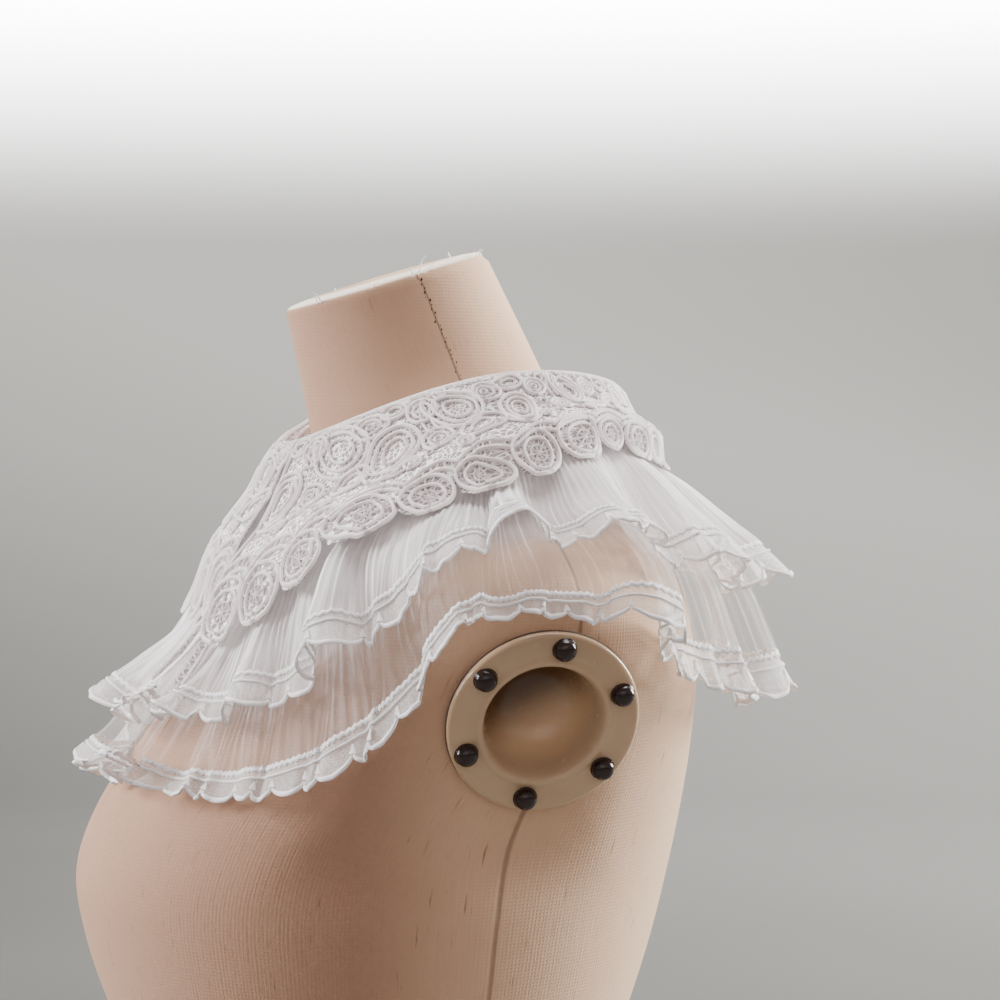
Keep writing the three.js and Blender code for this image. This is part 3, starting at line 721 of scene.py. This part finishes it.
def make_form():
    """The cover, closed at the neck's top and under the base, and open behind the arm plates."""
    columns, key = 160, FORM[:, 0]
    angle = np.arange(columns) / columns * TAU
    levels = [np.linspace(a, b, max(2, int((b - a) / 5)), endpoint=False) for a, b in zip(key[:-1], key[1:])]
    rows = [form_point(z, angle) for z in (*np.concatenate(levels), key[-1] - 5)]
    top, base = form_point(key[-1], angle), form_point(0, angle)
    centre = top.mean(0)
    rows += [centre + (top - centre) * share + [0, 0, up] for share, up in NECK_TOP_RINGS]
    grid = np.stack([base * [share, share, 0] for share in (0.02, 0.5, 0.9, 0.985)] + rows)
    round_armhole = bell(np.linalg.norm(grid - ARMHOLE_MIDDLE, axis=-1), 55, 14)
    grid[..., 0] += 0.22 * np.sin(grid[..., 2] * 0.9 + 5 * np.sin(grid[..., 1] * 0.06)) * round_armhole
    after = np.roll(grid, -1, 1)
    off = (grid[:-1] + after[:-1] + grid[1:] + after[1:]) / 4
    off[..., 0] = np.abs(off[..., 0])
    off -= ARMHOLE_MIDDLE
    beside = np.linalg.norm(off - (off @ ARMHOLE_OUT)[..., None] * ARMHOLE_OUT, axis=-1)
    under_plate = (beside < 37) & (np.abs(off @ ARMHOLE_OUT) < 8)
    faces = grid_faces(len(grid), columns, closed=True, keep=~under_plate)[:, ::-1]
    height = np.where(grid[..., 2] > 1, grid[..., 2], np.arange(len(grid))[:, None] * 4.6)
    coords = spread(np.linspace(0, ROUND, columns), height)
    new_piece("form_cover", grid, faces, LINEN, "dress_form", coords)


def seam_stitches():
    """Uneven dark stitches up each side of the neck."""
    skin = Surface(lambda a, z: form_point(-z, np.radians(a)), np.arange(-105, 106, 1.0), np.arange(-648, -590, 1.0))
    cords = Cords(skin)
    for side in (1, -1):
        for k, z in enumerate(np.arange(599, 645, 1.9)):
            a = side * (96.8 - 0.02 * (z - 597)) + 0.9 * math.sin(k * 2.1) + 0.5 * math.sin(k * 5.3)
            size = (0.3 + 0.7 * (z - 599) / 46) * (0.55 + 0.4 * math.sin(k * 3.7))
            t = np.linspace(0, 1, 6)
            width = (0.25 + size) * np.sin(np.pi * (0.12 + 0.76 * t))
            cords.add(a + 0.5 * side * t, -(z + (0.5 + size) * t), width, 0.15)
    cords.piece("neck_seam_stitches", DARK_THREAD_AND_GAP_SHADE, "form_cloth")


# angle, length in mm, lean outwards and along the rim
LOOSE_THREADS = [
    (96, 9, 0.1, 0.35), (93, 4, 0.5, -0.6), (100, 3.5, 0.6, 0.8), (38, 5, 0.6, -0.5), (35, 3.5, 0.9, 0.4),
    (140, 4, 0.5, 0.9), (146, 3, 0.8, -0.2), (70, 2.5, 0.5, 0.8), (215, 5, 0.4, 0.6), (290, 4, 0.6, -0.7),
]


def loose_threads():
    """Ends of white sewing thread round the rim of the neck."""
    points, faces = [], []
    for k, (turn, length, out, lean) in enumerate(LOOSE_THREADS):
        a = math.radians(turn)
        foot = form_point(FORM[-1, 0] - 1.5, a)
        outward, beside = np.array([math.sin(a), -math.cos(a), 0]), np.array([math.cos(a), math.sin(a), 0])
        t = np.linspace(0, 1, 9)[:, None]
        path = foot + length * (t * [0, 0, 1] + out * t**2 * outward + lean * t**1.6 * beside)
        path = path + 0.5 * np.sin(t * 7 + k) * t * beside
        round_it = np.linspace(0, TAU, 5, endpoint=False)
        spokes = np.cos(round_it)[:, None] * outward + np.sin(round_it)[:, None] * beside
        radius = 0.4 * (1 - 0.4 * t[:, None])
        points.append((path[:, None] + radius * spokes).reshape(-1, 3))
        faces.append(grid_faces(9, 5, closed=True) + 9 * 5 * k)
    new_piece("neck_thread_ends", np.concatenate(points), np.concatenate(faces), BRAID)


def place_on_armhole(points, side):
    """Turns points with +Y out of the plate into their place on one side of the form."""
    turn = Vector((0, 1, 0)).rotation_difference(Vector(ARMHOLE_OUT * [side, 1, 1])).to_matrix()
    return points @ np.array(turn).T + ARMHOLE_MIDDLE * [side, 1, 1]


def lathe(profile, segments):
    """A profile of (radius, height) turned round the Y axis."""
    angle = np.arange(segments) / segments * TAU
    r, h = profile[:, :1], profile[:, 1:]
    return spread(r * np.sin(angle), h, r * np.cos(angle)), grid_faces(len(profile), segments, closed=True)


PLATE_PROFILE = [
    (41.6, 0.5), (42.0, 1.2), (42.0, 3.0), (41.6, 3.9), (40.6, 4.5), (39.0, 4.75), (36.5, 4.5), (33.5, 3.9),
    (31.6, 3.6), (30.2, 4.0), (28.9, 4.6), (27.6, 4.4), (26.6, 3.4), (25.8, 1.6), (25.3, -0.4), (24.9, -2.6),
    (24.5, -5.0), (23.8, -8.0), (22.6, -11.5), (20.6, -15.0), (17.6, -18.0), (13.6, -20.2), (8.8, -21.5),
    (4.0, -22.0), (0.3, -22.1),
]


def cut_corners(profile):
    """A profile with its corners cut and its ends kept."""
    p = np.asarray(profile, float)
    q = np.stack([p[:-1] * 0.75 + p[1:] * 0.25, p[:-1] * 0.25 + p[1:] * 0.75], 1).reshape(-1, 2)
    return np.vstack([p[:1], q, p[-1:]])


def make_plate(side, word):
    """The plate with its bowl, and a dark ring round its edge: painted shade in the gap."""
    profile = cut_corners(PLATE_PROFILE)
    grid, faces = lathe(profile, PLATE_SEGMENTS)
    coords = np.broadcast_to(profile[:, None, :], (len(profile), PLATE_SEGMENTS, 2))
    new_piece(f"plate_{word}", place_on_armhole(grid, side), faces, PLASTIC, f"arm_plate_{word}", coords)
    # a near-black ring: painted shade in the gap between the plate and the cover
    gap, faces = lathe(np.array([(41.6, 1.0), (42.0, 0.85), (42.2, 0.5), (42.25, 0.1)]), PLATE_SEGMENTS)
    new_piece(f"plate_gap_shade_{word}", place_on_armhole(gap, side), faces, DARK_THREAD_AND_GAP_SHADE)


BOLT_PROFILE = [
    (5.1, 0.0), (5.35, 0.35), (5.3, 0.8), (5.0, 1.0), (4.9, 1.9), (4.65, 2.9), (4.15, 3.8), (3.3, 4.6), (2.2, 5.1),
    (1.1, 5.3), (0.02, 5.35),
]


def make_bolts(side, word):
    grid, faces = lathe(cut_corners(BOLT_PROFILE), BOLT_SEGMENTS)
    for number in range(BOLTS):
        angle = math.radians(BOLT_TURN + 360 / BOLTS * number)
        moved = grid + [BOLT_CIRCLE * math.sin(angle), BOLT_FOOT, BOLT_CIRCLE * math.cos(angle)]
        end = f"{word}_{number + 1}"
        new_piece(f"bolt_{end}", place_on_armhole(moved, side), faces, ENAMEL, f"plate_bolt_{end}")


# ---------------- frills and their edgings
def along(share):
    return FIRST + (LAST - FIRST) * share


def make_frill(name, node, pleats, depth, lift_at):
    """A frill of fine, slightly uneven pleats, down to just under its edging's top."""
    per_pleat = 4
    place = np.arange(pleats * per_pleat + 1) / per_pleat
    share = place / pleats
    uneven = 0.0016 * np.sin(share * 61) + 0.0011 * np.sin(share * 143 + 1) + 0.0006 * np.sin(share * 337 + 2)
    share = share + uneven * np.sin(np.pi * share)
    s = (FRILL_TOP + (depth - EDGING_WIDTH + 1.5 - FRILL_TOP) * np.linspace(0, 1, 34) ** 0.9)[:, None]
    down = (s - FRILL_TOP) / (depth - FRILL_TOP)
    amount = (0.42 + 0.33 * down) * (1 + 0.45 * np.sin(share * 97 + 3))
    zigzag = np.sin(place * TAU) * amount + 0.25 * np.sin(place * TAU / 2 + 1.1) * down
    degrees, depths = np.broadcast_arrays(along(share), s)
    points = cloth_point(degrees, depths, lift_at(degrees, depths) + zigzag)
    return new_piece(name, points, grid_faces(len(s), len(place)), CHIFFON, node, spread(place, s))


EDGING_ROWS = [0, 0.12, 0.3, 0.42, 0.55, 0.7, 0.85, 1]
EDGING_SCALLOP = 13.0
HEM_DEPTH = 5.2


def edging_hem(depth, place):
    """The scalloped edge: round scallops with sharp notches."""
    return depth - HEM_DEPTH + HEM_DEPTH * np.sin(np.pi * np.mod(place, 1)) ** 0.55


def flutter(degrees, share):
    """The edging's own small waves, which stand out furthest at the front corners and the back."""
    back = bell(degrees, 148, 20)
    full = bell(degrees, FIRST, 8) + bell(degrees, LAST, 8) + 0.25 * back
    calm = 1 - 0.8 * bell(degrees, 48, 15) + 1.7 * back
    phase = degrees * 2.3 + 2.6 * np.sin(degrees * 0.31)
    wave = 0.45 * np.sin(degrees * 2.9 + 1) + 0.3 * np.sin(degrees * 4.4 + 2.6 * np.sin(degrees * 0.31))
    out = 3.4 * (1 + np.sin(phase)) + 1.8 * (1 + np.sin(phase * 2.1 + 1))
    return np.clip(share, 0, 1) ** 1.2 * (wave * calm + full * out)


def make_edging(name, node, scallops, depth, lift_at):
    """The net, and on both its faces a zigzag braid, a thin cord, scalloped edges and a thread up each notch."""
    per_scallop = 8
    place = np.arange(scallops * per_scallop + 1) / per_scallop
    top = depth - EDGING_WIDTH

    def edging_point(turn, s):
        return cloth_point(turn, s, lift_at(turn, s) + flutter(turn, (s - top) / EDGING_WIDTH))

    depths = top + (edging_hem(depth, place) - top) * np.array(EDGING_ROWS)[:, None]
    points = edging_point(along(place / scallops) + 0 * depths, depths)
    faces = grid_faces(len(EDGING_ROWS), len(place))
    net = new_piece(name + "_net", points, faces, NET, node, spread(place * EDGING_SCALLOP, depths))

    trims = Cords(Surface(edging_point, np.arange(FIRST, LAST + 0.1, 0.2), np.arange(top, depth + 1.0, 0.8)))
    braid = along(np.linspace(0, 1, scallops * 12 + 1))
    zigzag = np.where(np.arange(len(braid)) % 2 == 0, 0.55, -0.55)
    t, peak = np.linspace(0.02, 0.98, 13), np.linspace(0, 1, 4)
    width = 1.2 + 1.1 * np.sin(np.pi * t) ** 0.8
    for face in (1, -1):
        height, trims.lift = 0.55 * face, 0.25 * face
        trims.add(braid, top + 1.3 + zigzag, 2.3, height, sides=4)
        trims.add(braid[::2], np.full(len(braid[::2]), top + 5.3), 1.25, height * 1.2, sides=4)
        for k in range(scallops):
            edge, notch = along((k + t) / scallops), np.full(4, along(k / scallops))
            trims.add(edge, edging_hem(depth, t) - width * 0.42, width, height, sides=4)
            trims.add(notch, depth - 5.4 - 3.6 * peak, 3.4 - 2.6 * peak, height * 0.8, sides=3)
    return net, trims.piece(name + "_trim", BRAID, "edging")


# ---------------- the lace collar
LACE = Surface(lace_point, np.arange(FIRST - 0.5, LAST + 0.75, 0.25), np.arange(-4, 94, 0.5))
LACE_SCALLOP = 22.0
BORDER_TOP = 60
DISC_MIDDLE = 75.8
DISC_HALF = 0.485


def disc_size(middle, pitch):
    """Half width, half height, height of a step and lean of the disc in a scallop, in millimetres and degrees."""
    across, down, lean = (float(part) for part in LACE.scale(middle, DISC_MIDDLE + 2))
    wide = DISC_HALF * pitch * across
    return wide, max((LACE_TIP - DISC_MIDDLE) * down, min(0.92 * wide, 15.5 * down)), down, lean


def lace_border(first, pitch, place, hem_share):
    """Degrees and v of the ground's lowest part, which follows the disc in each scallop."""
    k = np.minimum(place.astype(int), round(place[-1]) - 1)
    sizes = np.array([disc_size(first + pitch * (i + 0.5), pitch) for i in range(k[-1] + 1)])
    _, tall, down, lean = sizes[k].T
    x = (place - k - 0.5) / DISC_HALF
    tip = DISC_MIDDLE + tall / down
    hem = LACE_NOTCH + (tip - LACE_NOTCH) * np.sqrt(np.maximum(1 - x * x, 0))
    v = BORDER_TOP + (hem - BORDER_TOP) * hem_share
    held = np.maximum(1 - x**4, 0) * ramp(v, 64, 10)
    return first + pitch * place - held * lean * (v - DISC_MIDDLE) * down, v


def motif(cords, degrees, v, x, y, width, height, closed=True):
    """A cord whose shape is given in millimetres round a place of the lace: x along it and y down it."""
    _, down, lean = LACE.scale(degrees, v)
    depth = v + y / down
    across = LACE.scale(degrees, depth)[0]
    cords.add(degrees + x / across - lean * y, depth, width, height, closed)


def ring(radius, points=None, tall=1.0, turn=0.0, point=0.0):
    """A round or teardrop outline. tall stretches it, point draws its lower end out and turn rotates it."""
    points = points or max(8, int(radius * 4.2))
    a = np.arange(points) / points * TAU
    r = radius * (1 + point * np.maximum(np.cos(a), 0) ** 3)
    x, y = r * np.sin(a), r * np.cos(a) * tall
    return x * math.cos(turn) - y * math.sin(turn), x * math.sin(turn) + y * math.cos(turn)


def border_motifs(cords, first, pitch):
    """A disc in every scallop: a thick outer cord, bars, an inner ring and a seeded middle."""
    round_it, bars, spokes = np.arange(34) / 34 * TAU, np.arange(14) / 14 * TAU, np.arange(4) / 8 * TAU
    for k in range(LACE_SCALLOPS):
        middle = first + pitch * (k + 0.5)
        wide, tall = (size - 1.2 for size in disc_size(middle, pitch)[:2])
        lean = 0.18 * math.sin(k * 1.7)

        def cord(share, angle, width, height, lower=0.0, closed=True):
            x, y = wide * share * np.sin(angle), tall * share * np.cos(angle) + lower
            motif(cords, middle, DISC_MIDDLE, x, y, width, height, closed)

        cord(1, round_it, 1.7 + 0.9 * np.maximum(np.cos(round_it - lean), 0), 1.5)
        cord(0.66, round_it, 1.6, 1.3, lower=0.5)
        for turn in bars:
            cord(np.linspace(0.74, 0.92, 3), turn, 0.7, 0.8, closed=False)
        for turn in spokes + lean:
            cord(np.linspace(-0.58, 0.58, 7), turn, 0.65, 0.7, lower=0.5, closed=False)
        cord(0.33, round_it[::3], 0.7, 0.75, lower=0.5)


def wave_line(place, drop):
    """Depth v of the line that arches over every scallop."""
    return LACE_NOTCH - 5.0 - 5.5 * np.sin(np.pi * np.mod(place, 1)) ** 0.8 - drop


def double_line(cords, first, pitch):
    """Two cords that arch over the border's discs, with bars between them."""
    place = np.linspace(0, LACE_SCALLOPS, LACE_SCALLOPS * 14 + 1)[1:-1]
    for drop, width in ((0.0, 1.8), (4.4, 1.6)):
        cords.add(first + pitch * place, wave_line(place, drop), width, 1.35)
    for at in np.arange(0.1, LACE_SCALLOPS, 0.145):
        v = wave_line(at, np.linspace(0.6, 3.6, 3))
        cords.add(np.full(3, first + pitch * at), v, 0.8, 0.7)


# Motifs of the main band: place across (in scallops, of three), share of the way down the band, kind, size, turn
BAND_MOTIFS = [
    (0.42, 0.60, "drop", 9.5, 0.5), (1.02, 0.26, "rose", 6.6, 0.0), (1.45, 0.70, "rose", 6.0, 0.3),
    (1.98, 0.40, "drop", 10.0, 2.5), (2.52, 0.74, "oval", 5.6, 1.1), (2.70, 0.24, "rose", 6.2, 0.2),
    (0.30, 0.14, "oval", 4.6, 1.5), (1.50, 0.08, "seed", 3.4, 0.0), (0.98, 0.90, "seed", 3.4, 0.0),
    (2.12, 0.93, "seed", 3.2, 0.0),
]
BAND_TOP, BAND_BOTTOM, BAND_GROUP = 5.0, 56.0, 3

# Each kind's rings (share of the size, width, height), how tall, how far drawn out, whether it turns, and its points;
# then the spots that it fills: place along its turn and radius, in sizes
MOTIF_KINDS = {
    "drop": ([(1.0, 1.9, 1.3), (0.72, 1.6, 1.15), (0.44, 1.3, 1.0)], 1.12, 0.5, 1, None, [(0, 1.15), (1.5, 0.4)]),
    "rose": ([(1.0, 1.7, 1.2), (0.62, 1.4, 1.0), (0.25, 1.3, 1.1)], 1.0, 0.0, 0, None, [(0, 1.12)]),
    "oval": ([(1.0, 1.7, 1.2), (0.55, 1.4, 1.0)], 1.5, 0.0, 1, None, [(-0.5, 1.1), (0.5, 1.1)]),
    "seed": ([(1.0, 1.5, 1.0), (0.4, 1.3, 1.0)], 1.0, 0.0, 0, 12, [(0, 1.15)]),
}


def band_motifs(cords, first, pitch):
    """Drops, roses, ovals and seeds. Returns where they are, so that the filling keeps off them."""
    taken = []
    for group in range(LACE_SCALLOPS // BAND_GROUP):
        for place, share, kind, size, turn in BAND_MOTIFS:
            rings, tall, point, turns, points, spots = MOTIF_KINDS[kind]
            at = first + pitch * (group * BAND_GROUP + place), BAND_TOP + (BAND_BOTTOM - BAND_TOP) * share
            across, down, _ = LACE.scale(*at)
            size = size * np.clip(BAND_BOTTOM * down / 46, 0.72, 1.25)
            turn = turn + 0.25 * math.sin(group * 2.3 + place)
            for inner, width, height in rings:
                motif(cords, *at, *ring(size * inner, points, tall, turn * turns, point), width, height)
            if kind == "drop":
                a = turn + 1.9 + np.linspace(0, 1, 12) * 2.2
                for reach in (1.25, 1.62):
                    x, y = size * reach * np.sin(a), size * reach * -np.cos(a)
                    motif(cords, *at, x, y, 1.3, 1.0, closed=False)
            elif kind == "rose":
                for a in np.arange(8) * TAU / 8 + turn:
                    reach = np.linspace(0.68, 0.95, 3) * size
                    motif(cords, *at, reach * math.sin(a), reach * math.cos(a), 0.9, 0.8, closed=False)
            for reach, radius in spots:
                x, y = -reach * size * math.sin(turn), reach * size * math.cos(turn)
                taken.append((*LACE.point(at[0] + x / across, at[1] + y / down), radius * size))
    return np.array(taken)


def band_filling(cords, first, pitch, taken):
    """Small rings in the spaces between the motifs, each joined to the next."""
    row, v = 0, BAND_TOP + 1
    while v < BAND_BOTTOM - 1.5:
        step = 5.2 / LACE.scale(first + 60, v)[0]
        places = np.arange(first + 1.2 + (row % 2) * step / 2, first + pitch * LACE_SCALLOPS - 1.2, step)
        gap = np.linalg.norm(LACE.point(places, v)[:, None] - taken[:, :3], axis=-1) - taken[:, 3]
        for degrees in places[gap.min(1) > 1.6]:
            motif(cords, degrees, v, *ring(1.75, 9), 1.0, 0.8)
        v += 4.6 / LACE.scale(first + 90, v)[1]
        row += 1


def lace_half(word, first, last):
    """One half of the lace collar: its ground and all its cords."""
    pitch = (last - first) / LACE_SCALLOPS
    per_scallop = 14
    place = np.arange(LACE_SCALLOPS * per_scallop + 1) / per_scallop
    levels = np.concatenate([np.linspace(-4, LACE_ROLL, 7), np.linspace(11, BORDER_TOP, 18)])
    upper = np.broadcast_arrays(first + pitch * place, levels[:, None])
    border = lace_border(first, pitch, place, np.array([0.2, 0.4, 0.6, 0.8, 1.0])[:, None])
    degrees, v = (np.concatenate(rows) for rows in zip(upper, border))
    ground = new_piece(f"lace_{word}_ground", lace_point(degrees, v), grid_faces(len(v), len(place)), LACE_NET_AND_SHADE,
                       f"lace_collar_{word}", spread(place * LACE_SCALLOP, v))

    cords = Cords(LACE, CORD_LIFT)
    border_motifs(cords, first, pitch)
    double_line(cords, first, pitch)
    band_filling(cords, first, pitch, band_motifs(cords, first, pitch))
    edge = np.linspace(first + 0.35, last - 0.35, LACE_SCALLOPS * 10)
    for v, width in ((0.0, 1.8), (3.6, 1.4)):
        cords.add(edge, np.full(edge.shape, v), width, 1.2)
    side = np.linspace(0, LACE_NOTCH, 60)
    for at in (first + 0.45, last - 0.45):
        cords.add(np.full(side.shape, at), side, 1.6, 1.1)
    return ground, cords.piece(f"lace_{word}_cords", LACE_CORD, "lace")


STRIP = {"top_left": 87, "top_right": 72, "bottom": 111, "start": 0.3, "width": 3.6, "lift": 3.4}


def strip_point(degrees, s):
    return cloth_point(degrees, s, upper_lift(degrees, s) + STRIP["lift"])


def front_strip(word, edge, towards):
    """The narrow insertion down one front edge of the upper frill: its ground, two cords and a row of rings."""
    top, bottom = STRIP[f"top_{word}"], STRIP["bottom"]

    def turned(share):
        return edge + towards * (STRIP["start"] + STRIP["width"] * share)

    wide, s = np.linspace(0, 1, 7), (top + (bottom - top) * np.linspace(0, 1, 18))[:, None]
    points = strip_point(*np.broadcast_arrays(turned(wide), s))
    ground = new_piece(f"strip_{word}_ground", points, grid_faces(len(s), len(wide)), LACE_NET_AND_SHADE,
                       f"front_strip_{word}", spread(wide * 8.0, s))

    low = min(edge, edge + towards * 4.2)
    cords = Cords(Surface(strip_point, np.arange(low, low + 4.4, 0.1), np.arange(top, bottom + 1, 0.5)), 0.3)
    for share in (0.06, 0.94):
        cords.add(np.full(24, turned(share)), np.linspace(top, bottom, 24), 1.3, 0.9)
    x, y = ring(2.1, 12)
    for middle in np.arange(top + 3, bottom - 2, 4.6):
        cords.add(turned(0.5) + x * 0.62, middle + y * 0.85, 1.1, 0.9, closed=True)
    return ground, cords.piece(f"strip_{word}_cords", LACE_CORD, "lace")


BAND_FOOT = {"half": 68, "front": -34.5, "back": 104, "z_front": 558, "z_side": 579, "z_back": 574}


def make_neckband():
    """A tape from the lace's rolled edge down to the neck seam."""
    rows, columns = 6, 145
    degrees = along(np.linspace(0, 1, columns))
    sin, cos = np.sin(np.radians(degrees)), np.cos(np.radians(degrees))
    half, front, back, z_front, z_side, z_back = BAND_FOOT.values()
    share = (1 - cos) / 2
    rise = z_side - (z_front + z_back) / 2
    low = spread(half * sin, (front + back) / 2 - (back - front) / 2 * cos,
                 z_front * (1 - share) + z_back * share + rise * sin**2)
    high = lace_point(degrees, np.full(columns, -4.0)) - [0, 0, 1.4]
    down = np.linspace(0, 1, rows)[:, None, None]
    coords = spread(np.linspace(0, 440, columns), np.linspace(0, 25, rows)[:, None])
    return new_piece("neckband_tape", high * (1 - down) + low * down, grid_faces(rows, columns), TAPE,
                     "neckband", coords)


# ---------------- building it
make_form()
seam_stitches()
loose_threads()
for side, word in ((1, "left"), (-1, "right")):
    make_plate(side, word)
    make_bolts(side, word)

band = make_neckband()
lower = make_frill("frill_lower", "lower_frill", LOWER_PLEATS, LOWER_DEPTH, lower_lift)
upper = make_frill("frill_upper", "upper_frill", UPPER_PLEATS, UPPER_DEPTH, upper_lift)
lower_net, lower_trim = make_edging("edging_lower", "lower_edging", LOWER_SCALLOPS, LOWER_DEPTH, lower_lift)
upper_net, upper_trim = make_edging("edging_upper", "upper_edging", UPPER_SCALLOPS, UPPER_DEPTH, upper_lift)
left, left_cords = lace_half("left", FIRST, BACK_SEAM - BACK_SEAM_HALF)
right, right_cords = lace_half("right", BACK_SEAM + BACK_SEAM_HALF, LAST)
strip_l, strip_l_cords = front_strip("left", FIRST, 1)
strip_r, strip_r_cords = front_strip("right", LAST, -1)


# ---------------- studio
def make_stage():
    """A pale floor that curves up into a round wall."""
    bend, floor = 800, -1
    cove = [(WALL_RADIUS - bend + bend * math.sin(a), floor + bend - bend * math.cos(a))
            for a in np.linspace(0, math.pi / 2, 12)]
    profile = [(1, floor), (500, floor), (2000, floor)] + cove + [(WALL_RADIUS, 2400), (WALL_RADIUS, WALL_TOP)]
    r, z = np.array(profile, float).T[..., None]
    angle = np.arange(96) / 96 * TAU
    grid = spread(r * np.sin(angle), r * np.cos(angle), z)
    new_mesh("stage_cove", grid, grid_faces(len(grid), 96, closed=True), backdrop_material())


def face(thing, direction):
    """Turns a lamp or the camera to look along a direction."""
    thing.rotation_mode = "QUATERNION"
    thing.rotation_quaternion = direction.to_track_quat("-Z", "Y")


def area_light(name, place, target, size, power, colour):
    light = bpy.data.lights.new(name, "AREA")
    light.shape, light.size, light.energy, light.color = "DISK", size, power, colour
    lamp = bpy.data.objects.new(name, light)
    lamp.location = place
    face(lamp, Vector(target) - Vector(place))
    lamp.visible_camera = False
    bpy.context.scene.collection.objects.link(lamp)


make_stage()
# name, place, what it points at, metres across, watts, colour
for light_row in (
    ("top_softbox", (-0.3, 0.5, 2.9), (0, 0.05, 0.55), 1.8, 115, (1.0, 0.98, 0.98)),
    ("front_softbox", (-0.8, -2.3, 1.25), (0, 0, 0.55), 1.2, 175, (0.99, 1.0, 0.99)),
    ("back_softbox", (-0.4, 2.4, 1.2), (0, 0.05, 0.55), 1.2, 245, (0.98, 1.0, 0.98)),
    ("side_fill", (3.0, -0.5, 1.3), (0, 0.05, 0.5), 2.4, 12, (1.0, 0.66, 0.68)),
):
    area_light(*light_row)

world = bpy.data.worlds.new("soft_room")
bpy.context.scene.world = world
world.use_nodes = True
room = world.node_tree.nodes["Background"]
room.inputs["Color"].default_value = (1.0, 0.86, 0.86, 1)
room.inputs["Strength"].default_value = 0.5

camera_data = bpy.data.cameras.new("photo_camera")
camera_data.sensor_width = 36
camera_data.lens = CAMERA_LENS
camera_data.clip_start, camera_data.clip_end = 0.05, 30
camera = bpy.data.objects.new("photo_camera", camera_data)
yaw, rise = math.radians(CAMERA_TURN), math.radians(CAMERA_RISE)
back = Vector((math.cos(yaw) * math.cos(rise), -math.sin(yaw) * math.cos(rise), math.sin(rise)))
camera.location = Vector(CAMERA_TARGET) + back * CAMERA_DISTANCE
face(camera, -back)
bpy.context.scene.collection.objects.link(camera)
bpy.context.scene.camera = camera
